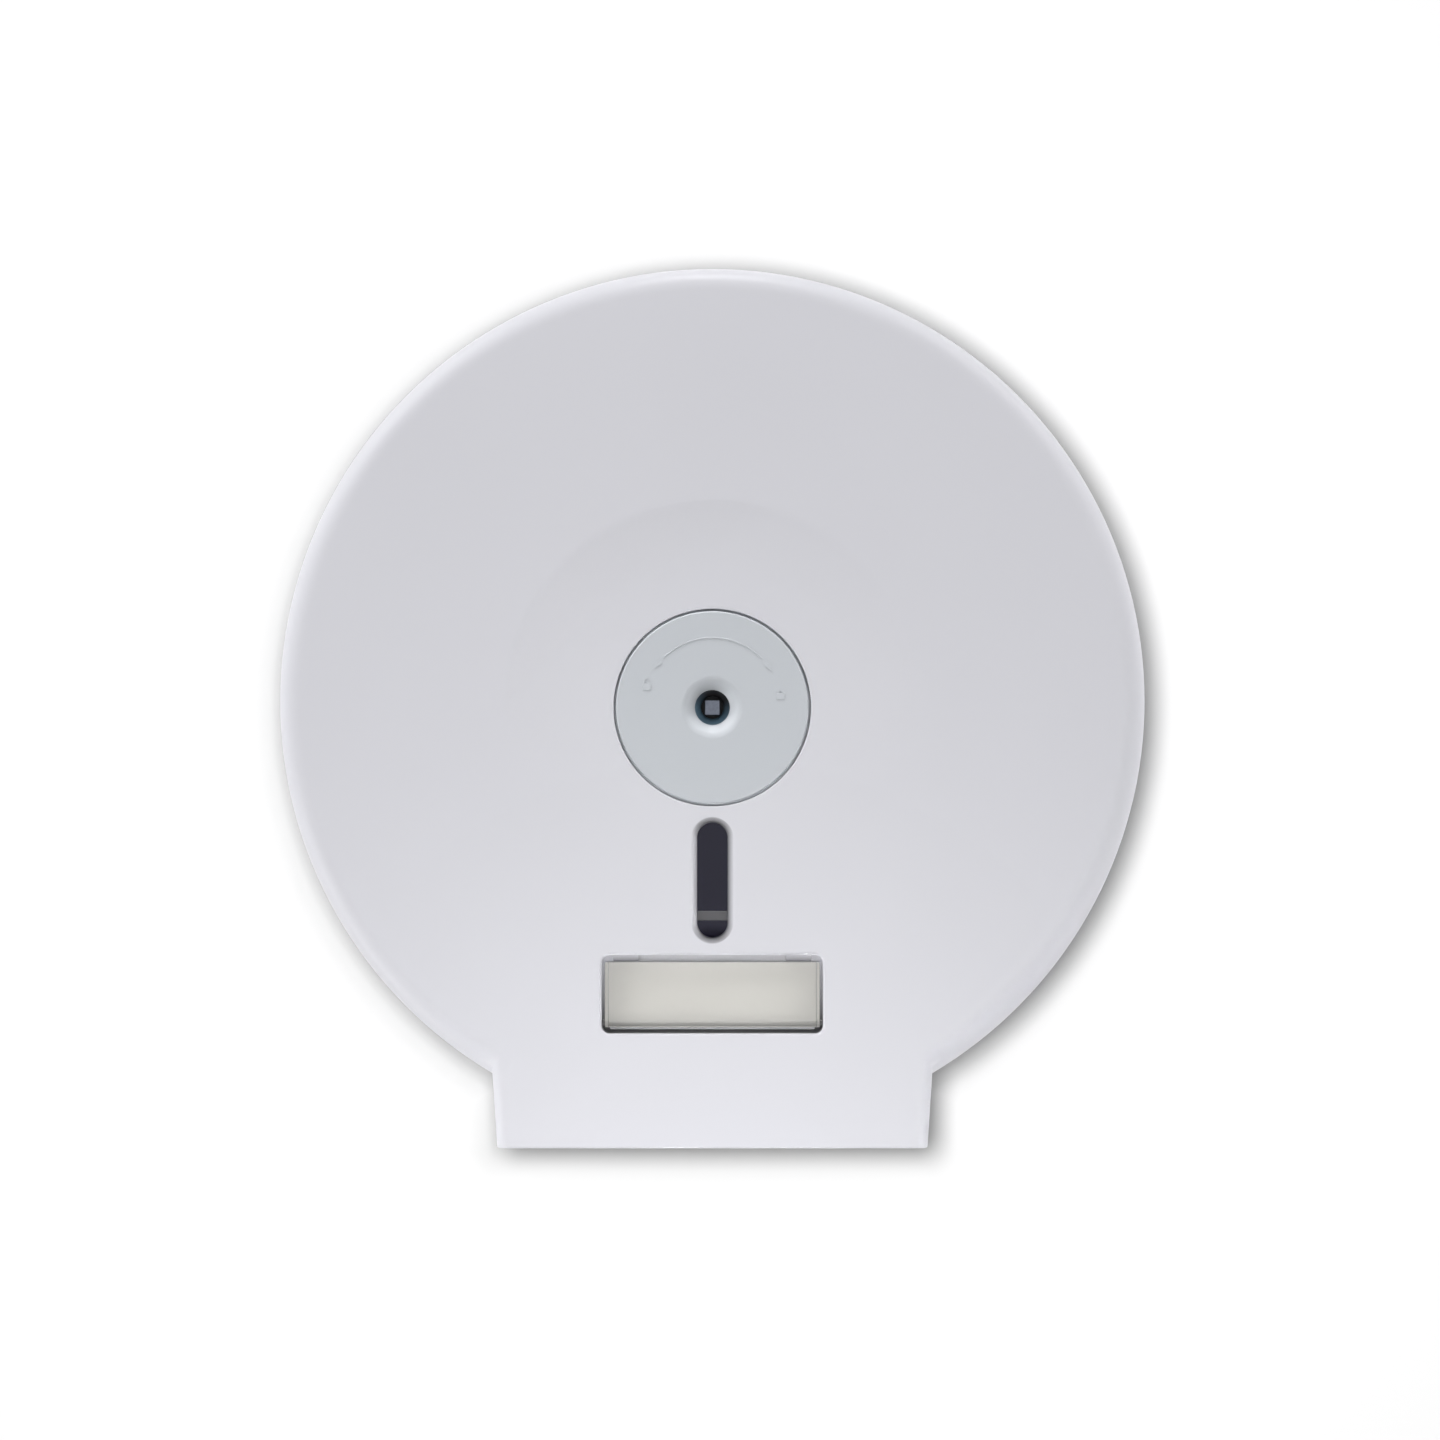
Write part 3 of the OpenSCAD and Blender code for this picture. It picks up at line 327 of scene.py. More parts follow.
def draw_outline(bm, z, drum_in, skirt_in, foot_y=-SKIRT_DROP):
    """Draws the case's outline at one height, from the skirt's right foot round the drum to its left foot."""
    up = Vector((sin(SKIRT_LEAN), cos(SKIRT_LEAN), 0))
    middle = Vector((0, CASE_RISE, z))
    corner = Vector((SKIRT_W / 2 - skirt_in / cos(SKIRT_LEAN), -SKIRT_DROP, z))
    foot = corner + up * (foot_y + SKIRT_DROP) / cos(SKIRT_LEAN)
    reach = corner - middle
    along = reach.dot(up)
    radius = CASE_R - drum_in
    climb = -along - sqrt(along ** 2 - reach.length_squared + radius ** 2)
    crease = corner + up * climb
    start = atan2(crease.y - CASE_RISE, crease.x)
    turns = [start + (pi - 2 * start) * step / 160 for step in range(161)]
    drum = [middle + radius * Vector((cos(turn), sin(turn), 0)) for turn in turns]
    skirt = [foot, foot + 3 * up]
    left = [Vector((-spot.x, spot.y, z)) for spot in reversed(skirt)]
    line = [bm.verts.new(spot) for spot in skirt + drum + left]
    return [bm.edges.new(pair) for pair in zip(line, line[1:])], line[:2] + line[-2:]


def lathe(bm, corners, steps, closed=False, turn=2 * pi, rounding=6):
    """Spins a section round the z axis. Each corner is (radius, height) or (radius, height, rounding)."""
    old_verts = set(bm.verts)
    old_edges = set(bm.edges)
    section = [bm.verts.new((corner[0], 0, corner[1])) for corner in corners]
    for pair in zip(section, section[1:] + section[:1] if closed else section[1:]):
        bm.edges.new(pair)
    for vert, corner in zip(section, corners):
        if len(corner) > 2:
            bmesh.ops.bevel(bm, geom=[vert], offset=corner[2], offset_type="OFFSET", segments=rounding,
                            profile=0.5, affect="VERTICES", material=-1, clamp_overlap=False)
    drawn = [vert for vert in bm.verts if vert not in old_verts]
    drawn += [edge for edge in bm.edges if edge not in old_edges]
    whole = turn > 2 * pi - 0.001
    bmesh.ops.rotate(bm, verts=[part for part in drawn if isinstance(part, bmesh.types.BMVert)],
                     cent=(0, 0, 0), matrix=Matrix.Rotation(pi / steps if whole else 0, 3, "Z"))
    bmesh.ops.spin(bm, geom=drawn, axis=(0, 0, 1), cent=(0, 0, 0), angle=turn, steps=steps, use_merge=whole)
    return [vert for vert in bm.verts if vert not in old_verts]


def pull_apart(verts, right, up):
    """Pulls the quarters of a turned form apart, which makes a stadium or a rounded rectangle of it."""
    for vert in verts:
        vert.co.x += right if vert.co.x > 0 else -right
        vert.co.y += up if vert.co.y > 0 else -up


def put(bm, verts, matrix):
    bmesh.ops.transform(bm, matrix=matrix, verts=verts)


def block(bm, low, high, round_r=0.3, steps=2):
    """A box between two corners with rounded edges."""
    low, high = Vector(low), Vector(high)
    size = high - low
    made = bmesh.ops.create_cube(bm, size=1)["verts"]
    put(bm, made, Matrix.Translation((low + high) / 2) @ Matrix.Diagonal((*size, 1)))
    edges = list({edge for vert in made for edge in vert.link_edges})
    rounded = bmesh.ops.bevel(bm, geom=edges, offset=round_r, offset_type="OFFSET", segments=steps,
                              profile=0.5, affect="EDGES", material=-1, clamp_overlap=True)
    return list({vert for face in rounded["faces"] for vert in face.verts})


def prism(bm, points, low, high):
    """A flat shape of a few corners, drawn up from one height to another."""
    base = bm.faces.new([bm.verts.new((x, y, low)) for x, y in points])
    grown = bmesh.ops.extrude_face_region(bm, geom=[base])["geom"]
    top = [part for part in grown if isinstance(part, bmesh.types.BMVert)]
    bmesh.ops.translate(bm, verts=top, vec=(0, 0, high - low))
    return list(base.verts) + top


def open_edges(bm, z):
    """The edges at one height that have a face on one side only, or none yet."""
    return [edge for edge in bm.edges if len(edge.link_faces) < 2
            and all(abs(vert.co.z - z) < 0.0005 for vert in edge.verts)
            and not all(vert.co.y < -SKIRT_DROP + 0.001 for vert in edge.verts)]


def skirt_place(side):
    """Where one side of the skirt is: x outwards from its outer surface, y up from its lower edge."""
    flip = Matrix.Diagonal((side, 1, 1, 1))
    return flip @ Matrix.Translation((SKIRT_W / 2, -SKIRT_DROP, 0)) @ Matrix.Rotation(-SKIRT_LEAN, 4, "Z")


bm = bmesh.new()
shade = bm.verts.layers.float.new("shade")
rear_corner = [(HINGE_Z - HINGE_INSET * cos(radians(turn)), HINGE_Y - HINGE_INSET * sin(radians(turn)))
               for turn in range(0, 91, 15)]
skins = []
for drum_r, skirt_r, inset, top in ((RIM_R, SKIRT_EDGE_R, 0, CASE_FRONT),
                                    (RIM_IN_R, SKIRT_EDGE_R - WALL, WALL, FACE_IN)):
    rows = [draw_outline(bm, z, inset, inset, foot_y) for z, foot_y in rear_corner]
    for step in range(11):
        height = top - drum_r + drum_r * sin(radians(9 * step))
        drum_in = drum_r - drum_r * cos(radians(9 * step))
        over = max(height - (top - skirt_r), 0)
        skirt_in = skirt_r - sqrt(max(skirt_r ** 2 - over ** 2, 0))
        rows.append(draw_outline(bm, height, inset + drum_in, inset + skirt_in))
    rows.append(draw_outline(bm, top, inset + drum_r + 0.8, inset + skirt_r + 0.8))
    for (lower, _), (upper, _) in zip(rows, rows[1:]):
        bmesh.ops.bridge_loops(bm, edges=lower + upper)
    ends = rows[-1][1]
    bm.faces.new(ends)
    skins.append(rows)
outer, inner = skins
bmesh.ops.bridge_loops(bm, edges=outer[0][0] + inner[0][0])
corner_rows = len(rear_corner)
for end in (0, 3):
    for row in range(corner_rows):
        bm.faces.new([outer[row][1][end], outer[row + 1][1][end], inner[row + 1][1][end], inner[row][1][end]])
rim = [[row[1][end] for row in skin[corner_rows:]] for skin in skins for end in (0, 3)]
bm.faces.new(rim[0] + rim[1][::-1] + rim[3] + rim[2][::-1])
bmesh.ops.recalc_face_normals(bm, faces=bm.faces)
feet = {row[1][end] for row in outer for end in (0, 3)}
soften(bm, FOOT_EDGE_R, 4, 40, [edge for edge in bm.edges if feet.issuperset(edge.verts)])
feet = {row[1][end] for row in inner for end in (0, 3)}
soften(bm, REAR_EDGE_R, 2, 40, [edge for edge in bm.edges if feet.issuperset(edge.verts)
                                or all(vert.co.z < COVER_BACK + 0.001 for vert in edge.verts)])

# The openings in the face: the disc's hole with the dish round it, the view slot and the label recess.
# The dish gets rings of faces for its bowl. Below its foot they are cut away again, because the slot is near.
DISH_RINGS = (68, 64.8, 64.3, 63.8, 62.5, 60.5, 58, 55, 51, 46, 40, 33.4)
around_disc = lathe(bm, [(ring, CASE_FRONT) for ring in DISH_RINGS]
                    + [(DISC_HOLE, CASE_FRONT, 0.35), (DISC_HOLE, FACE_IN)], 144)
ring_faces = {face for vert in around_disc for face in vert.link_faces
              if min(corner.co.xy.length for corner in face.verts) > DISH_RINGS[-1] - 0.1}
parts = list(ring_faces | {edge for face in ring_faces for edge in face.edges}
             | {vert for face in ring_faces for vert in face.verts})
bmesh.ops.bisect_plane(bm, geom=parts, plane_co=(0, DISH_FOOT, 0), plane_no=(0, -1, 0))
below = [face for face in bm.faces
         if DISH_RINGS[-1] - 0.1 < face.calc_center_median().xy.length < DISH_RINGS[0]
         and all(abs(vert.co.z - CASE_FRONT) < 0.001 for vert in face.verts)
         and max(vert.co.y for vert in face.verts) < DISH_FOOT + 0.01]
bmesh.ops.delete(bm, geom=below, context="FACES")

SLOT_Y = -53.7
SLOT_W = 9.5
SLOT_H = 35.8
SLOT_LIP = 1.9
SLOT_REACH = (SLOT_H - SLOT_W) / 2
slot_lip = lathe(bm, [(SLOT_W / 2 + SLOT_LIP + 0.15, CASE_FRONT), (SLOT_W / 2, CASE_FRONT, SLOT_LIP),
                      (SLOT_W / 2, FACE_IN)], 48, rounding=8)
pull_apart(slot_lip, 0, SLOT_REACH)
put(bm, slot_lip, Matrix.Translation((0, SLOT_Y, 0)))

LABEL_W = 68.8
LABEL_H = 24.3
LABEL_Y = -89.15
LABEL_CORNER = 2.5
LABEL_FLOOR = 115.2
TRAY_BACK = 113.7
TRAY_EDGE_R = 1.0
TRAY_HALF_W = 36.4
TRAY_HALF_H = 14.15
EXIT_R = 0.4
EXIT_HALF_W = 31.6
EXIT_Y = -100.05
recess = lathe(bm, [(LABEL_CORNER + 1.6, CASE_FRONT), (LABEL_CORNER, CASE_FRONT, 0.9),
                    (LABEL_CORNER, 119.5), (LABEL_CORNER, LABEL_FLOOR)], 32)
pull_apart(recess, LABEL_W / 2 - LABEL_CORNER, LABEL_H / 2 - LABEL_CORNER)
put(bm, recess, Matrix.Translation((0, LABEL_Y, 0)))
lens_exit = lathe(bm, [(EXIT_R, LABEL_FLOOR), (EXIT_R, TRAY_BACK)], 16)
pull_apart(lens_exit, EXIT_HALF_W, 0.1)
put(bm, lens_exit, Matrix.Translation((0, EXIT_Y, 0)))
tray = lathe(bm, [(TRAY_EDGE_R, FACE_IN), (TRAY_EDGE_R, TRAY_BACK, 0.4), (0.4, TRAY_BACK)], 16)
pull_apart(tray, TRAY_HALF_W - TRAY_EDGE_R, TRAY_HALF_H - TRAY_EDGE_R)
put(bm, tray, Matrix.Translation((0, LABEL_Y, 0)))
for height in (CASE_FRONT, FACE_IN, LABEL_FLOOR, TRAY_BACK):
    bmesh.ops.triangle_fill(bm, use_beauty=True, use_dissolve=False, edges=open_edges(bm, height))
bmesh.ops.recalc_face_normals(bm, faces=bm.faces)

# The dish: deepest at the disc, and shallower downwards until it ends below the disc's middle.
for vert in bm.verts:
    out = vert.co.xy.length
    if vert.co.z > CASE_FRONT - 0.8 and out < DISH_R + 1.7 and vert.co.y > -DISH_FADE:
        fade = (vert.co.y + DISH_FADE) / (DISH_R + DISH_FADE)
        inwards = min(max((DISH_R + 0.15 - out) / DISH_BOWL, 0), 1)
        vert.co.z -= DISH_DEPTH * fade * (1 - (1 - inwards) ** 2)

# Painted shade in the mouths: the slot's lip darkens the deeper it goes, most at its ends and least on its
# left side, and the recess darkens faintly, and nearly to black along its lower edge by the lens's exit slot.
for vert in slot_lip:
    steep = sqrt(1 - (1 - min((CASE_FRONT - vert.co.z) / SLOT_LIP, 1)) ** 2)
    end = min(max(abs(vert.co.y - SLOT_Y) - SLOT_REACH, 0) / SLOT_W * 2, 1)
    side_painted_shade = 0.45 if vert.co.x < 0 else 0.9
    vert[shade] = end * steep ** 0.4 + (1 - end) * steep * side_painted_shade
for vert in recess + lens_exit:
    depth = CASE_FRONT - vert.co.z
    if vert.co.y < EXIT_Y + 1.05:
        vert[shade] = min(max(depth - 0.5, 0), 1) * 0.95
    else:
        vert[shade] = min(max(depth - 1.5, 0) / 5, 1) * 0.05

# Moulded inside the cover: hinge bosses, the tear strips' rails, screw bosses, the window's frame and ribs.
# They sink into the face's back by 0.3 mm.
SUNK = FACE_IN + 0.3
PIN_HOLE_R = 2.56
HINGE_BOSS_R = 5.5
HINGE_BOSS_L = 6.3
HINGE_BOSS_X = 60.1
RAIL_LOW = (-6, 5, 34)
RAIL_HIGH = (-2.2, 13, 114)
SCREW_HOLE_R = 1.62
SCREW_BOSS_R = 4
SCREW_BOSS_BACK = 107
SCREW_CIRCLE_R = 41
FRAME_IN_R = 6.1
FRAME_OUT_R = 7.5
FRAME_BACK = 116.5
RIB_LOW = 115.0
RIB_START = 40.0
RIB_END = 132.5
RIB_HALF_T = 0.8
inside = bmesh.new()
inside_painted_shade = inside.verts.layers.float.new("shade")
for side in (-1, 1):
    boss = lathe(inside, [(PIN_HOLE_R, 0), (HINGE_BOSS_R, 0, 0.5), (HINGE_BOSS_R, HINGE_BOSS_L),
                          (PIN_HOLE_R, HINGE_BOSS_L)], 40, closed=True, rounding=3)
    boss_place = Matrix.Translation((side * HINGE_BOSS_X, HINGE_Y, HINGE_Z))
    put(inside, boss, boss_place @ Matrix.Rotation(side * pi / 2, 4, "Y"))
    rail = block(inside, RAIL_LOW, RAIL_HIGH, 0.5)
    put(inside, rail, skirt_place(side))
for turn in (90, 210, 330):
    boss = lathe(inside, [(SCREW_HOLE_R, SCREW_BOSS_BACK), (SCREW_BOSS_R, SCREW_BOSS_BACK, 0.4),
                          (SCREW_BOSS_R - 0.3, SUNK), (SCREW_HOLE_R, SUNK)], 32, closed=True, rounding=3)
    put(inside, boss, Matrix.Rotation(radians(turn), 4, "Z") @ Matrix.Translation((SCREW_CIRCLE_R, 0, 0)))
window_frame = lathe(inside, [(FRAME_IN_R, FRAME_BACK, 0.3), (FRAME_OUT_R, FRAME_BACK, 0.3),
                              (FRAME_OUT_R, SUNK), (FRAME_IN_R, SUNK)], 48, closed=True, rounding=3)
pull_apart(window_frame, 0, SLOT_REACH)
put(inside, window_frame, Matrix.Translation((0, SLOT_Y, 0)))
for turn in (-10, 30, 60, 90, 120, 150, 190):
    rib = block(inside, (RIB_START, -RIB_HALF_T, RIB_LOW), (RIB_END, RIB_HALF_T, SUNK), 0.35)
    put(inside, rib, Matrix.Rotation(radians(turn), 4, "Z"))
ring_out = RIB_START + 2 * RIB_HALF_T
rib_ring = lathe(inside, [(RIB_START, RIB_LOW, 0.3), (ring_out, RIB_LOW, 0.3), (ring_out, SUNK),
                          (RIB_START, SUNK)], 96, closed=True, turn=radians(222), rounding=3)
put(inside, rib_ring, Matrix.Rotation(radians(-21), 4, "Z"))

# A cross bar low in the view slot, where the roll is nearly used up. Painted shade turns its white ABS nearly
# black, as if it lay deep in the slot's shade.
BAR_LOW = -66.3
BAR_HIGH = -63.3
BAR_HALF_W = 4.9
BAR_FRONT = 120.1
BAR_PAINTED_SHADE = 0.97
before = set(inside.verts)
block(inside, (-BAR_HALF_W, BAR_LOW, SUNK), (BAR_HALF_W, BAR_HIGH, BAR_FRONT), 0.35, 3)
for vert in inside.verts:
    if vert not in before:
        vert[inside_painted_shade] = BAR_PAINTED_SHADE

# The two ledges and the sloping thumb scoop along the recess's upper edge, with painted shade that darkens
# them downwards.
LEDGE_BACK = 119.6
LEDGE_FRONT = 121.5
LEDGE_LOW = -78.8
LEDGE_TOP = -75.3
LEDGE_END = 30.8
SCOOP_HALF_W = 22.8
SCOOP_LOW = -79.05
SCOOP_TOP = -76.1
SCOOP_FRONT = 121.9
for side in (-1, 1):
    ends = sorted((side * SCOOP_HALF_W, side * LEDGE_END))
    ledge = block(inside, (ends[0], LEDGE_LOW, LEDGE_BACK), (ends[1], LEDGE_TOP, LEDGE_FRONT), 0.25)
    for vert in ledge:
        vert[inside_painted_shade] = (LEDGE_TOP - 1.1 - vert.co.y) * 0.36
scoop = prism(inside, [(SCOOP_LOW, LEDGE_BACK), (SCOOP_TOP, LEDGE_BACK), (SCOOP_TOP, SCOOP_FRONT),
                       (SCOOP_TOP - 0.4, SCOOP_FRONT)], -SCOOP_HALF_W, SCOOP_HALF_W)
put(inside, scoop, Matrix(((0, 0, 1, 0), (1, 0, 0, 0), (0, 1, 0, 0), (0, 0, 0, 1))))
for vert in scoop:
    vert[inside_painted_shade] = 0.3 + (CASE_FRONT - vert.co.z) / 16
bmesh.ops.holes_fill(inside, edges=inside.edges, sides=0)
bmesh.ops.recalc_face_normals(inside, faces=inside.faces)
within = bpy.data.meshes.new("cover_inside")
inside.to_mesh(within)
inside.free()
bm.from_mesh(within)
bpy.data.meshes.remove(within)

# Glossy white ABS with a breath of lavender; the mould's grain is about 0.2 mm, drawn at 0.6 mm to show.
# Painted shade through the mesh's shade attribute darkens its mouths, the recess, the ledges, the scoop and
# the slot's bar.
cover_abs = moulded_plastic("moulded_lavender_white_abs", "#DCDCE2", 0.34, 0.6, 0.006, "#E6E6EA", painted_shade=0.9)
front_shell = make_piece("front_shell", bm, cover_abs)
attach(front_shell, "cover")
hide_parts("front_cover")


# Smoked window
# A small plate of smoked acrylic in the view slot, with a flange glued behind the face.
def clear_plastic(name, colour, shade, gloss, reflection_tint="#FFFFFF", foot=-1.0):
    """Acrylic: light goes through it, tinted, and a shadow ray passes so that what lies behind is lit.

    Painted reflection: what it mirrors takes a given tint, and fades out over the 4 mm above the height of
    foot.
    """
    material = new_material(name)
    place = add_node(material, "ShaderNodeTexCoord").outputs["Object"]
    wave = add_node(material, "ShaderNodeTexNoise", {"Vector": place, "Scale": 1000 / 9, "Detail": 2.0})
    haze = add_node(material, "ShaderNodeTexNoise", {"Vector": place, "Scale": 1000 / 0.5, "Detail": 2.0})
    dull = add_node(material, "ShaderNodeMapRange",
                    {"Value": haze.outputs["Fac"], "From Min": 0.3, "From Max": 0.7,
                     "To Min": gloss - 0.02, "To Max": gloss + 0.03})
    bump = add_node(material, "ShaderNodeBump",
                    {"Height": wave.outputs["Fac"], "Strength": 0.2, "Distance": 0.0001})
    height = add_node(material, "ShaderNodeSeparateXYZ", {"Vector": place}).outputs["Z"]
    reflection_fade = add_node(material, "ShaderNodeMapRange",
                     {"Value": height, "From Min": foot, "From Max": foot + 0.004}).outputs["Result"]
    mirrored = add_node(material, "ShaderNodeMix", {0: reflection_fade, 6: (0, 0, 0, 1), 7: linear(reflection_tint)},
                        data_type="RGBA").outputs[2]
    solid = add_node(material, "ShaderNodeBsdfPrincipled",
                     {"Base Color": linear(colour), "Roughness": dull.outputs["Result"], "IOR": 1.49,
                      "Transmission Weight": 1.0, "Normal": bump.outputs["Normal"],
                      "Specular Tint": mirrored})
    passing = add_node(material, "ShaderNodeBsdfTransparent", {"Color": linear(shade)})
    path = add_node(material, "ShaderNodeLightPath")
    both = add_node(material, "ShaderNodeMixShader",
                    {0: path.outputs["Is Shadow Ray"], 1: solid.outputs["BSDF"], 2: passing.outputs["BSDF"]})
    add_node(material, "ShaderNodeOutputMaterial", {"Surface": both.outputs["Shader"]})
    return material


# Cast acrylic dyed a dark violet grey: glossy, and it lets only a little light through.
# Painted reflection: what it mirrors is tinted bluish and fades out at its foot, standing in for the shade of
# the slot's lower lip.
SMOKE = "#3A364C"
WINDOW_REFLECTION_FOOT = -0.0715
smoked_acrylic = clear_plastic("smoked_acrylic", SMOKE, SMOKE, 0.06, "#E4E4FF", WINDOW_REFLECTION_FOOT)

PLATE_R = 4.6
PLATE_FRONT = 119.6
FLANGE_R = 5.95
FLANGE_BACK = 117.5
bm = bmesh.new()
plate = lathe(bm, [(PLATE_R, PLATE_FRONT, 0.25), (PLATE_R, FACE_IN), (FLANGE_R, FACE_IN, 0.2),
                   (FLANGE_R, FLANGE_BACK, 0.2), (5.2, FLANGE_BACK)], 48, rounding=3)
pull_apart(plate, 0, SLOT_REACH)
put(bm, plate, Matrix.Translation((0, SLOT_Y, 0)))
bmesh.ops.holes_fill(bm, edges=bm.edges, sides=0)
bmesh.ops.recalc_face_normals(bm, faces=bm.faces)
smoked_plate = make_piece("smoked_plate", bm, smoked_acrylic)
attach(smoked_plate, "cover")
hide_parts("view_window")


# Lock disc
# The round plate with a soft funnel round the key hole, and a flange that grips behind the cover's face.
# Moulded in a cool grey ABS; the arc, its arrow heads and the two padlocks stand up by 0.15 mm.
DISC_FRONT = 121.6
DISC_R = 29.95
DISC_FLANGE_R = 32.2
DISC_FLANGE_BACK = 117
DISC_THIN_R = 25.8
DISC_BACK = 118.6
SHOULDER_R = 30.5
SHOULDER = 120.2
FUNNEL_R = 8.6
FUNNEL_FOOT = 119.2
KEY_HOLE_R = 5.45
MARK_R = 21.7
MARK_HALF_W = 0.22
MARK_BASE = DISC_FRONT - 0.1
MARK_TOP = DISC_FRONT + 0.15
ARROW_L = 1.9
ARROW_HALF_W = 0.95
PADLOCK_HALF_W = 1.3
PADLOCK_H = 2
SHACKLE_IN_R = 0.6
SHACKLE_R = 1.05

bm = bmesh.new()
lathe(bm, [(DISC_THIN_R, DISC_FLANGE_BACK), (DISC_FLANGE_R, DISC_FLANGE_BACK, 0.2), (DISC_FLANGE_R, FACE_IN),
           (SHOULDER_R, FACE_IN), (SHOULDER_R, SHOULDER), (DISC_R, SHOULDER), (DISC_R, DISC_FRONT, 0.45),
           (FUNNEL_R, DISC_FRONT, 1.2), (KEY_HOLE_R, FUNNEL_FOOT, 0.3), (KEY_HOLE_R, DISC_BACK),
           (DISC_THIN_R, DISC_BACK)], 144, closed=True)
# The shoulder in the groove round the disc follows the dish, and painted shade darkens the funnel's upper
# left.
disc_painted_shade = bm.verts.layers.float.new("shade")
for vert in bm.verts:
    out = vert.co.xy.length
    if out > DISC_R - 0.1 and abs(vert.co.z - SHOULDER) < 0.01:
        vert.co.z -= vert.co.y * 0.8 / 30
    if out < FUNNEL_R + 0.1:
        aside = max(0.8 * vert.co.y - 0.6 * vert.co.x, 0) / out
        vert[disc_painted_shade] = 0.45 * aside * min((DISC_FRONT - vert.co.z) / 1.5, 1)

arc = lathe(bm, [(MARK_R - MARK_HALF_W, MARK_BASE), (MARK_R + MARK_HALF_W, MARK_BASE),
                 (MARK_R + MARK_HALF_W, MARK_TOP, 0.08), (MARK_R - MARK_HALF_W, MARK_TOP, 0.08)], 60,
            closed=True, turn=radians(89), rounding=2)
put(bm, arc, Matrix.Rotation(radians(45), 4, "Z"))
for side, turn in ((-1, 36), (1, 141)):
    head = prism(bm, [(0, side * ARROW_L), (-ARROW_HALF_W, -side * ARROW_HALF_W),
                      (ARROW_HALF_W, -side * ARROW_HALF_W)], MARK_BASE, MARK_TOP)
    put(bm, head, Matrix.Rotation(radians(turn), 4, "Z") @ Matrix.Translation((MARK_R, 0, 0)))
# An open padlock at one end of the arc, with its shackle lifted, and a closed one at the other.
for turn, lift in ((160, 0.9), (12, 0)):
    padlock = block(bm, (-PADLOCK_HALF_W, -PADLOCK_H, MARK_BASE), (PADLOCK_HALF_W, 0, MARK_TOP), 0.08)
    shackle = lathe(bm, [(SHACKLE_IN_R, MARK_BASE), (SHACKLE_R, MARK_BASE), (SHACKLE_R, MARK_TOP),
                         (SHACKLE_IN_R, MARK_TOP)], 16, closed=True, turn=pi)
    put(bm, shackle, Matrix.Translation((0, lift, 0)))
    if lift:
        padlock += block(bm, (-SHACKLE_R, -0.1, MARK_BASE), (-SHACKLE_IN_R, lift + 0.1, MARK_TOP), 0.05)
    mark_place = (MARK_R * cos(radians(turn)), MARK_R * sin(radians(turn)), 0)
    put(bm, padlock + shackle, Matrix.Translation(mark_place))
bmesh.ops.holes_fill(bm, edges=bm.edges, sides=0)
bmesh.ops.recalc_face_normals(bm, faces=bm.faces)

# Cool grey ABS, a little duller than the cover.
# Painted shade from the shade attribute darkens its funnel's upper left.
disc_abs = moulded_plastic("moulded_cool_grey_abs", "#C2C6CB", 0.36, 0.5, 0.01, "#D0D3D6", painted_shade=1.0)
key_disc = make_piece("key_disc", bm, disc_abs)
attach(key_disc, "cover")
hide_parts("lock_disc")


# Lock housing and its screws
# A moulded cup behind the disc, in which the barrel turns; three screws hold it to the cover's bosses.

# Glass-filled nylon, dyed dark: matt and slightly mottled.
housing_nylon = moulded_plastic("glass_filled_nylon", "#3C3D41", 0.55, 0.5, 0.03, "#57585C")

for node, width, slot, material in (
        ("lock_housing", 0.25, "housing_nylon", housing_nylon),
        ("lock_screws", 0.12, "zinc_plated_steel", zinc_plated)):
    bm = frame_copy(node)
    soften(bm, width)
    piece = make_piece(node + "_made", bm, material)
    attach(piece, "cover")
    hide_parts(node)


# Lock spring
# Three turns of wire, wound cold, that keep the barrel pressed against the disc.

# Drawn spring wire: dark, smooth and a little oily.
spring_steel = plated_metal("drawn_spring_wire", "#9A9CA0", "#7D7F84", 0.28, 1.5, 0.2)

WIRE_R = 0.45
SPRING_R = 8.8
SPRING_LOW = 111.5
SPRING_HIGH = 116.1
SPRING_TURNS = 3
bm = bmesh.new()
wire = bmesh.ops.create_circle(bm, cap_ends=False, radius=WIRE_R, segments=12)["verts"]
put(bm, wire, Matrix.Translation((SPRING_R, 0, SPRING_LOW)) @ Matrix.Rotation(pi / 2, 4, "X"))
rise = (SPRING_HIGH - SPRING_LOW) / (SPRING_TURNS * 40)
bmesh.ops.spin(bm, geom=list(bm.verts) + list(bm.edges), axis=(0, 0, 1), cent=(0, 0, 0), dvec=(0, 0, rise),
               angle=2 * pi * SPRING_TURNS, steps=SPRING_TURNS * 40)
bmesh.ops.holes_fill(bm, edges=bm.edges, sides=0)
bmesh.ops.recalc_face_normals(bm, faces=bm.faces)
coil = make_piece("coil", bm, spring_steel)
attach(coil, "cover")
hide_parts("lock_spring")


# Barrel
# The turning part of the lock, with the dished key hole in its front: turned from bar and then milled.
# A square-holed plate on the floor of the hole closes the gap round the post that the key fits over.

# Acetal: a dense blue-grey with a waxy sheen.
# Painted shade from the shade attribute darkens the deep hole and the dish's upper side.
dark_acetal = moulded_plastic("dark_blue_grey_acetal", "#4F6878", 0.4, 0.5, 0.006, "#5A7484", painted_shade=1.0)

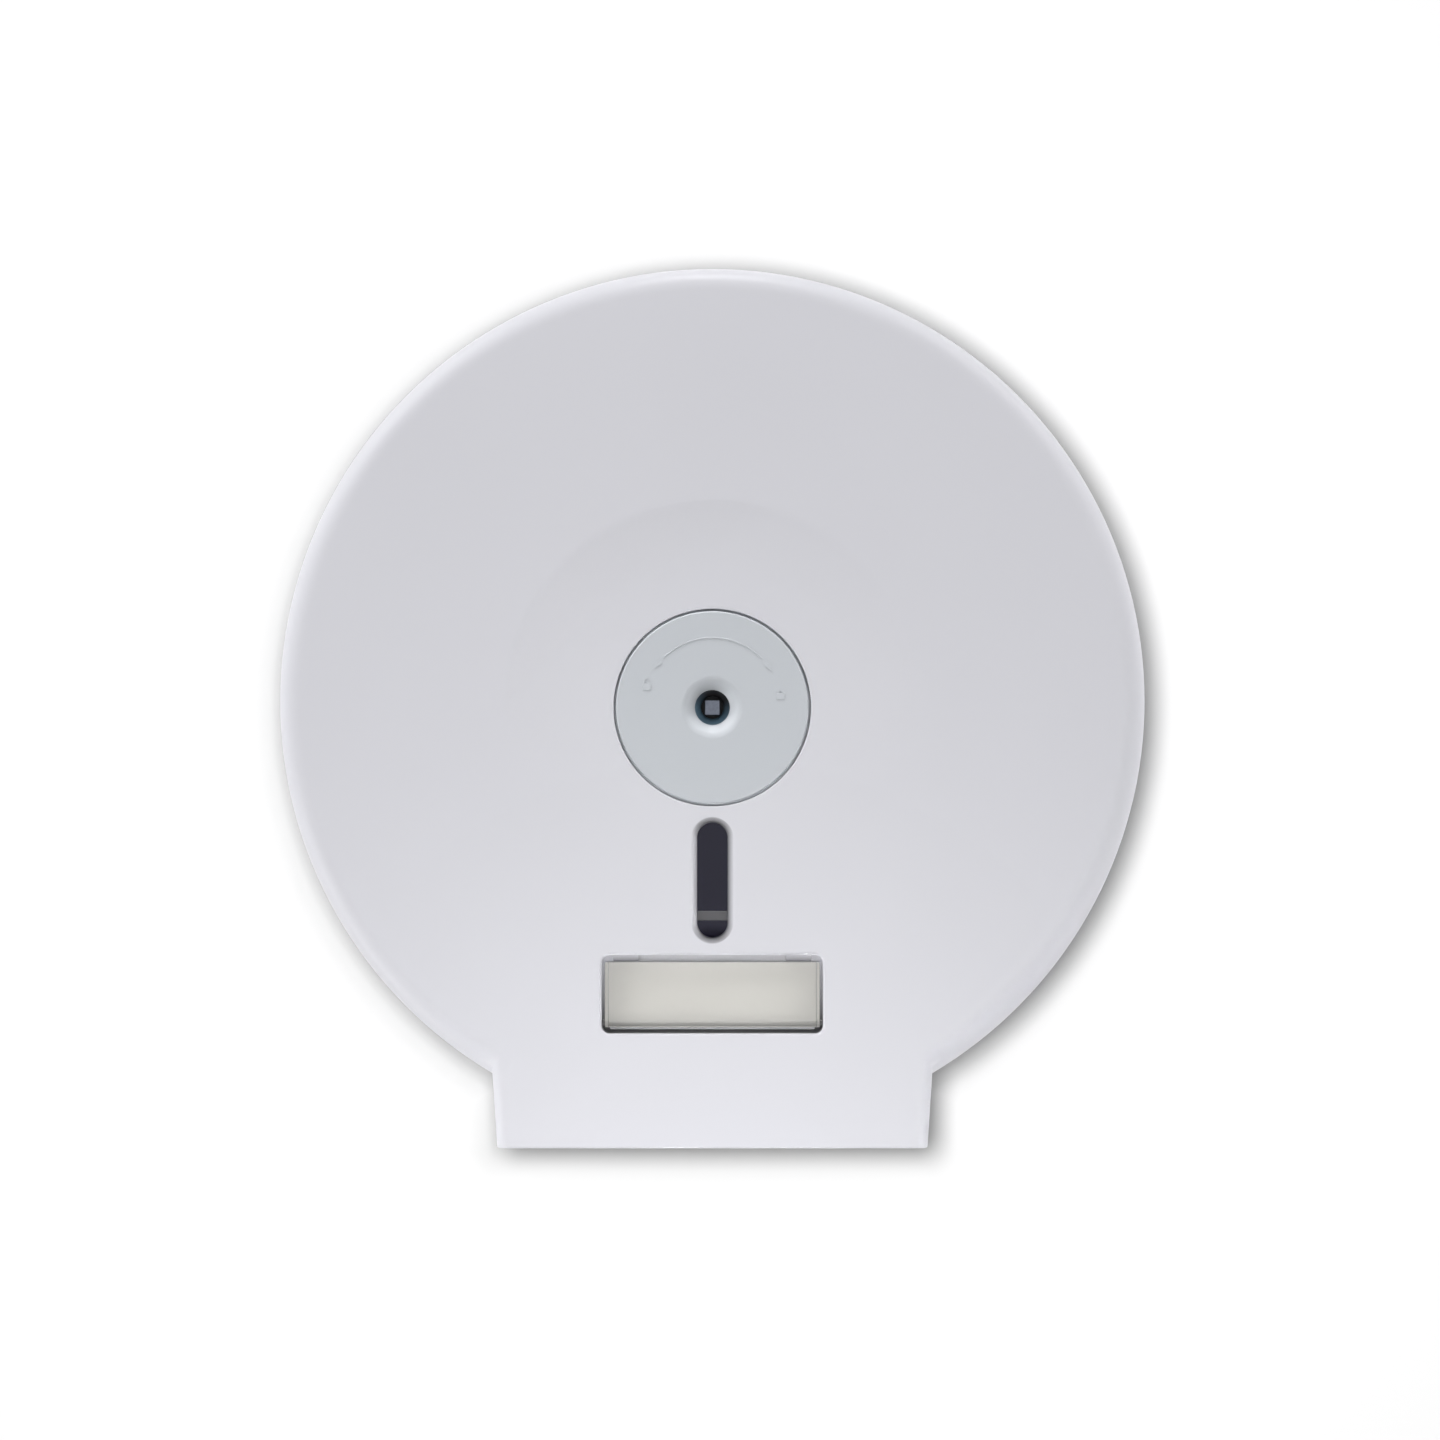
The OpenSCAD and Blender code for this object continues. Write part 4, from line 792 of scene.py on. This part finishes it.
NECK_R = 6
NECK_BACK = 101.5
BARREL_R = 7.5
BARREL_BACK = 104.2
COLLAR_R = 9.8
COLLAR_BACK = 116.9
COLLAR_FRONT = 118.3
DISHED_R = 3.45
SHAFT_HOLE_R = 3.53
SHAFT_HOLE_TOP = 108.6
HOLE_DEEP = 115.7
SQUARE_IN_R = 3.46
SQUARE_OUT_R = 5.2
SQUARE_BACK = 109.2
SQUARE_FRONT = 110.2
bm = bmesh.new()
barrel_painted_shade = bm.verts.layers.float.new("shade")
lathe(bm, [(SHAFT_HOLE_R, NECK_BACK), (NECK_R, NECK_BACK, 0.2), (NECK_R, BARREL_BACK),
           (BARREL_R, BARREL_BACK, 0.2), (BARREL_R, COLLAR_BACK), (COLLAR_R, COLLAR_BACK, 0.3),
           (COLLAR_R, COLLAR_FRONT, 0.3), (KEY_HOLE_R, COLLAR_FRONT, 0.2), (DISHED_R, HOLE_DEEP, 0.3),
           (DISHED_R, SHAFT_HOLE_TOP + 0.2), (SHAFT_HOLE_R, SHAFT_HOLE_TOP)], 96, closed=True)
lathe(bm, [(SQUARE_IN_R, SQUARE_BACK), (SQUARE_OUT_R, SQUARE_BACK), (SQUARE_OUT_R, SQUARE_FRONT),
           (SQUARE_IN_R, SQUARE_FRONT)], 4, closed=True)
# Painted shade darkens the deep hole and the upper side of the dish.
for vert in bm.verts:
    out = vert.co.xy.length
    if vert.co.z < HOLE_DEEP - 0.1:
        vert[barrel_painted_shade] = 0.9
    elif out < KEY_HOLE_R + 0.15:
        vert[barrel_painted_shade] = min(max(0.45 + (0.7 * vert.co.y + 0.25 * vert.co.x) / out, 0), 1)
bmesh.ops.recalc_face_normals(bm, faces=bm.faces)
key_barrel = make_piece("key_barrel", bm, dark_acetal)
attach(key_barrel, "lock")
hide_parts("lock_barrel")


# Lock shaft
# One casting: the square post that the key fits over, and the round shaft that runs back to the bar.

# Die-cast zinc: soft grey with a slight violet cast and a fine cast grain.
cast_zinc = plated_metal("die_cast_zinc_grey", "#787D88", "#6B707C", 0.42, 1.2, 0.35)

POST_HALF = 2.4
POST_FRONT = 117.2
SHAFT_R = 3.5
SHAFT_BACK = 98.2
SHAFT_FRONT = 108.3
STEM_R = 1.9
STEM_BACK = 92.4
bm = bmesh.new()
block(bm, (-POST_HALF, -POST_HALF, SHAFT_FRONT - 0.3), (POST_HALF, POST_HALF, POST_FRONT), 0.4, 3)
shaft = lathe(bm, [(SHAFT_R, SHAFT_BACK, 0.2), (SHAFT_R, SHAFT_FRONT, 0.3), (1, SHAFT_FRONT)], 64, rounding=3)
lathe(bm, [(1, STEM_BACK), (STEM_R, STEM_BACK, 0.25), (STEM_R, SHAFT_BACK + 0.1)], 48, rounding=3)
shoulder = lathe(bm, [(STEM_R - 0.2, SHAFT_BACK), (SHAFT_R, SHAFT_BACK)], 64)
bmesh.ops.remove_doubles(bm, verts=shaft + shoulder, dist=0.0005)
bmesh.ops.holes_fill(bm, edges=bm.edges, sides=0)
bmesh.ops.recalc_face_normals(bm, faces=bm.faces)
drive_shaft = make_piece("drive_shaft", bm, cast_zinc)
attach(drive_shaft, "lock")
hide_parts("lock_shaft")


# Lock bar, nut and clip
# The bar that catches behind the strike plate and the nut that holds it are zinc-plated steel.
# The clip that keeps the barrel in its housing is stamped from spring steel.
for node, width, slot, material in (
        ("lock_bar", 0.3, "zinc_plated_steel", zinc_plated),
        ("lock_nut", 0.25, "zinc_plated_steel", zinc_plated),
        ("lock_clip", 0.15, "spring_steel", spring_steel)):
    bm = frame_copy(node)
    soften(bm, width)
    piece = make_piece(node + "_made", bm, material)
    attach(piece, "lock")
    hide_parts(node)


# Label card
# The blank card that lies on the floor of the recess: coated board of about 0.5 mm, cut with a guillotine.
CARD_PALE = "#E8E6E2"
CARD_SHADE = "#DCDAD6"
CARD_HALF_W = 33.2
CARD_LOW = -99.3
CARD_HIGH = -79.4
CARD_FRONT = LABEL_FLOOR + 0.5

# Coated board: a warm pale grey, washed unevenly, with the tooth of the fibre in its gloss.
card_board = new_material("coated_card_warm_grey")
place = add_node(card_board, "ShaderNodeTexCoord").outputs["Object"]
fibre = add_node(card_board, "ShaderNodeTexNoise",
                 {"Vector": place, "Scale": 1000 / 0.8, "Detail": 4.0, "Roughness": 0.7})
wash = add_node(card_board, "ShaderNodeTexNoise", {"Vector": place, "Scale": 1000 / 25, "Detail": 1.0})
tone = add_node(card_board, "ShaderNodeMix",
                {0: wash.outputs["Fac"], 6: linear(CARD_PALE), 7: linear(CARD_SHADE)}, data_type="RGBA")
matt = add_node(card_board, "ShaderNodeMapRange",
                {"Value": fibre.outputs["Fac"], "From Min": 0.3, "From Max": 0.7,
                 "To Min": 0.5, "To Max": 0.62})
tooth = add_node(card_board, "ShaderNodeBump",
                 {"Height": fibre.outputs["Fac"], "Strength": 0.4, "Distance": 0.00002})
coated = add_node(card_board, "ShaderNodeBsdfPrincipled",
                  {"Base Color": tone.outputs[2], "Roughness": matt.outputs["Result"], "IOR": 1.5,
                   "Normal": tooth.outputs["Normal"]})
add_node(card_board, "ShaderNodeOutputMaterial", {"Surface": coated.outputs["BSDF"]})

bm = bmesh.new()
block(bm, (-CARD_HALF_W, CARD_LOW, LABEL_FLOOR), (CARD_HALF_W, CARD_HIGH, CARD_FRONT), 0.12)
blank_card = make_piece("blank_card", bm, card_board)
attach(blank_card, "cover")
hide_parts("label_card")


# Label window
# The clear lens over the card, which tilts forward on two small trunnions at its lower corners.
# One injection moulding with a leg at each side.

# Acrylic, water-clear with polished faces.
clear_acrylic = clear_plastic("clear_acrylic", "#FBFBFA", "#FBFBFA", 0.05)

LENS_HALF = 33.5
LENS_LOW = -99.4
LENS_HIGH = -79.2
LENS_BACK = 119.6
LENS_FRONT = 121.2
LEG_IN = 32.3
LEG_BACK = 116.6
TRUNNION_Y = -98
TRUNNION_Z = 119.1
TRUNNION_R = 1
TRUNNION_L = 2
bm = bmesh.new()
block(bm, (-LENS_HALF, LENS_LOW, LENS_BACK), (LENS_HALF, LENS_HIGH, LENS_FRONT), 0.35, 3)
for side in (-1, 1):
    ends = sorted((side * LEG_IN, side * LENS_HALF))
    block(bm, (ends[0], LENS_LOW + 0.1, LEG_BACK), (ends[1], LENS_HIGH - 0.1, LENS_BACK + 0.2), 0.25)
    trunnion = lathe(bm, [(0.3, 0), (TRUNNION_R, 0), (TRUNNION_R, TRUNNION_L, 0.25), (0.3, TRUNNION_L)], 32,
                     rounding=3)
    trunnion_place = Matrix.Translation((side * (LENS_HALF - 0.2), TRUNNION_Y, TRUNNION_Z))
    put(bm, trunnion, trunnion_place @ Matrix.Rotation(side * pi / 2, 4, "Y"))
bmesh.ops.holes_fill(bm, edges=bm.edges, sides=0)
bmesh.ops.recalc_face_normals(bm, faces=bm.faces)
lens = make_piece("lens", bm, clear_acrylic)
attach(lens, "label_window")
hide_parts("label_window")


# Tear strips and their screws
# Two toothed strips of stainless sheet, stamped, on the rails inside the skirt, each held by two screws.
for node, width, slot, material in (
        ("tear_strip_left", 0.1, "stainless_steel", stainless),
        ("tear_strip_right", 0.1, "stainless_steel", stainless),
        ("tear_strip_screws", 0.12, "zinc_plated_steel", zinc_plated)):
    bm = frame_copy(node)
    soften(bm, width)
    piece = make_piece(node + "_made", bm, material)
    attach(piece, "cover")
    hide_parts(node)


# The room
# A white wall behind the dispenser, a pale floor well below it, and a camera straight in front.
# One small soft lamp stands beside the camera, up and to the left, and throws the shadow on the wall; a
# painted glow in the wall's paint lightens its outer part and keeps it tight.

# The camera stands a few millimetres off the roll's axis, and a frame of this width fits the face's plane.
CAMERA_X = 0.00239
CAMERA_Z = -0.00388
FRAME_WIDTH = 0.4474
LENS = 100.0
SENSOR = 36.0
camera_y = -(CASE_FRONT / 1000 + FRAME_WIDTH * LENS / SENSOR)

camera_data = bpy.data.cameras.new("camera")
camera_data.lens = LENS
camera_data.sensor_width = SENSOR
camera_data.clip_start = 0.01
camera = bpy.data.objects.new("camera", camera_data)
camera.location = (CAMERA_X, camera_y, CAMERA_Z)
camera.rotation_euler = (pi / 2, 0, 0)
bpy.context.scene.collection.objects.link(camera)
bpy.context.scene.camera = camera


# The dispenser's outline as the camera sees it on the wall, in metres: larger than the real one, because
# the wall lies behind the face.
OUTLINE_R = 0.1487
SKIRT_MIDDLE = (0, 0, -0.1315)
SKIRT_HALF = (0.0736, 1, 0.018)
GLOW_START = 0.001
GLOW_FULL = 0.015
WHITE_START = 0.2
WHITE_FULL = 0.45


def room_surface(name, colour, painted_glow):
    """White paint on one side of a sheet; from behind, and for light that bounces, the sheet isn't there.

    Painted light: it glows faintly from just outside the dispenser's outline and turns white far out. That
    keeps the shadow tight and the background clean.
    """
    material = new_material(name)
    paint = add_node(material, "ShaderNodeBsdfDiffuse", {"Color": colour})
    place = add_node(material, "ShaderNodeTexCoord").outputs["Object"]
    out = add_node(material, "ShaderNodeVectorMath", {0: place}, operation="LENGTH")
    drum = add_node(material, "ShaderNodeMath", {0: out.outputs["Value"], 1: OUTLINE_R}, operation="SUBTRACT")
    beside = add_node(material, "ShaderNodeVectorMath", {0: place, 1: SKIRT_MIDDLE}, operation="SUBTRACT")
    mirrored = add_node(material, "ShaderNodeVectorMath", {0: beside.outputs[0]}, operation="ABSOLUTE")
    past = add_node(material, "ShaderNodeVectorMath", {0: mirrored.outputs[0], 1: SKIRT_HALF},
                    operation="SUBTRACT")
    outside = add_node(material, "ShaderNodeVectorMath", {0: past.outputs[0], 1: (0, 0, 0)},
                       operation="MAXIMUM")
    skirt = add_node(material, "ShaderNodeVectorMath", {0: outside.outputs[0]}, operation="LENGTH")
    gap = add_node(material, "ShaderNodeMath", {0: drum.outputs[0], 1: skirt.outputs["Value"]},
                   operation="MINIMUM")
    near = add_node(material, "ShaderNodeMapRange",
                    {"Value": gap.outputs[0], "From Min": GLOW_START, "From Max": GLOW_FULL,
                     "To Min": 0.0, "To Max": painted_glow})
    even = add_node(material, "ShaderNodeMapRange",
                    {"Value": gap.outputs[0], "From Min": WHITE_START, "From Max": WHITE_FULL,
                     "To Min": near.outputs["Result"], "To Max": 1.0})
    light = add_node(material, "ShaderNodeEmission",
                     {"Color": (1, 1, 1, 1), "Strength": even.outputs["Result"]})
    front = add_node(material, "ShaderNodeAddShader", {0: paint.outputs[0], 1: light.outputs[0]})
    away = add_node(material, "ShaderNodeBsdfTransparent")
    path = add_node(material, "ShaderNodeLightPath")
    glossy = add_node(material, "ShaderNodeMath",
                      {0: path.outputs["Is Camera Ray"], 1: path.outputs["Is Glossy Ray"]},
                      operation="MAXIMUM")
    seen = add_node(material, "ShaderNodeMath",
                    {0: glossy.outputs[0], 1: path.outputs["Is Transmission Ray"]}, operation="MAXIMUM")
    back = add_node(material, "ShaderNodeNewGeometry").outputs["Backfacing"]
    facing = add_node(material, "ShaderNodeMath", {0: 1.0, 1: back}, operation="SUBTRACT")
    shown = add_node(material, "ShaderNodeMath", {0: seen.outputs[0], 1: facing.outputs[0]},
                     operation="MULTIPLY")
    sheet = add_node(material, "ShaderNodeMixShader",
                     {0: shown.outputs[0], 1: away.outputs[0], 2: front.outputs[0]})
    add_node(material, "ShaderNodeOutputMaterial", {"Surface": sheet.outputs[0]})
    return material


def room_sheet(name, size, matrix, material):
    bm = bmesh.new()
    bmesh.ops.create_grid(bm, x_segments=1, y_segments=1, size=size, matrix=matrix)
    mesh = bpy.data.meshes.new(name)
    bm.to_mesh(mesh)
    bm.free()
    mesh.materials.append(material)
    surface = bpy.data.objects.new(name, mesh)
    bpy.context.scene.collection.objects.link(surface)
    return surface


ROOM_SIZE = 6.0
WALL_GAP = 0.0006
FLOOR_HEIGHT = -1.6
wall_paint = room_surface("wall_paint_white", (0.4, 0.4, 0.4, 1), 0.22)
wall_place = Matrix.Translation((0, WALL_GAP, 0)) @ Matrix.Rotation(pi / 2, 4, "X")
wall = room_sheet("wall", ROOM_SIZE, wall_place, wall_paint)
floor_paint = room_surface("floor_pale", (0.78, 0.78, 0.79, 1), 0.5)
floor = room_sheet("floor", ROOM_SIZE, Matrix.Translation((0, 0, FLOOR_HEIGHT)), floor_paint)

# The wall and the floor are a group of their own: one lamp lights only them, and all others leave them out.
# The disc is another, because a lamp of its own gives its funnel the bright lower edge.
room = bpy.data.collections.new("room")
no_room = bpy.data.collections.new("all_but_the_room")
for surface in (wall, floor):
    room.objects.link(surface)
    no_room.objects.link(surface)
for entry in no_room.collection_objects:
    entry.light_linking.link_state = "EXCLUDE"
disc_only = bpy.data.collections.new("disc_only")
disc_only.objects.link(key_disc)


def area_lamp(name, place, towards, size, power, lights_only=None, not_lit=None, shines=True, beam=180):
    """A soft round lamp. It lights everything, or one group of surfaces, or all but one group.

    One that shines also shows in glossy surfaces. The beam is the full angle of its light, in degrees.
    """
    data = bpy.data.lights.new(name, "AREA")
    data.shape = "DISK"
    data.size = size
    data.energy = power
    data.spread = radians(beam)
    lamp = bpy.data.objects.new(name, data)
    lamp.location = place
    lamp.rotation_euler = (Vector(towards) - Vector(place)).to_track_quat("-Z", "Y").to_euler()
    lamp.visible_camera = False
    lamp.visible_glossy = shines
    lamp.visible_transmission = False
    bpy.context.scene.collection.objects.link(lamp)
    if lights_only or not_lit:
        lamp.light_linking.receiver_collection = lights_only or not_lit
    return lamp


# Light from above leaves the dish's upper side a little darker. Softer light comes from both sides, from low
# in front, where a narrow beam brightens the face's lower half alone, and from behind for the back plate.
face = (0, -CASE_FRONT / 1000, 0)
low_face = (0, -CASE_FRONT / 1000, -0.2)
area_lamp("shadow_lamp", (-0.0264, camera_y, 0.0115), face, 0.14, 36.0, lights_only=room, shines=False)
area_lamp("top_softbox", (0, -0.45, 1.1), face, 0.4, 2.6, not_lit=no_room)
area_lamp("disc_lamp", (-0.2, -0.272, 1.0), face, 0.15, 5.5, lights_only=disc_only, shines=False)
area_lamp("upper_left_fill", (-0.8, -0.45, 0.8), face, 0.7, 7.1, not_lit=no_room, shines=False)
area_lamp("upper_right_fill", (0.8, -0.45, 0.8), face, 0.7, 5.7, not_lit=no_room, shines=False)
area_lamp("low_fill", (0, -1.1, -0.65), low_face, 0.2, 0.094, not_lit=no_room, shines=False, beam=22)
area_lamp("left_fill", (-1.1, -0.62, -0.65), face, 0.8, 9.6, not_lit=no_room, shines=False)
area_lamp("right_fill", (1.1, -0.62, -0.65), face, 0.8, 7.2, not_lit=no_room, shines=False)
area_lamp("rear_fill", (0.4, 1.1, 0.3), (0, 0, 0), 0.8, 10.0, not_lit=no_room, shines=False)

# White for the camera and in clear reflections, and a low even light for everything else.
world = bpy.data.worlds.new("studio")
bpy.context.scene.world = world
world.use_nodes = True
world.node_tree.nodes.clear()
around = add_node(world, "ShaderNodeBackground", {"Color": (1, 1, 1, 1), "Strength": 0.22})
white = add_node(world, "ShaderNodeBackground", {"Color": (1, 1, 1, 1), "Strength": 1.0})
path = add_node(world, "ShaderNodeLightPath")
mirrored = add_node(world, "ShaderNodeMath",
                    {0: path.outputs["Is Glossy Ray"], 1: path.outputs["Is Transmission Ray"]},
                    operation="MAXIMUM")
straight = add_node(world, "ShaderNodeMath", {0: path.outputs["Diffuse Depth"], 1: 0.5},
                    operation="LESS_THAN")
clearly = add_node(world, "ShaderNodeMath", {0: mirrored.outputs[0], 1: straight.outputs[0]},
                   operation="MULTIPLY")
seen = add_node(world, "ShaderNodeMath", {0: path.outputs["Is Camera Ray"], 1: clearly.outputs[0]},
                operation="MAXIMUM")
sky = add_node(world, "ShaderNodeMixShader",
               {0: seen.outputs[0], 1: around.outputs[0], 2: white.outputs[0]})
add_node(world, "ShaderNodeOutputWorld", {"Surface": sky.outputs[0]})
bpy.context.scene.view_settings.view_transform = "Standard"
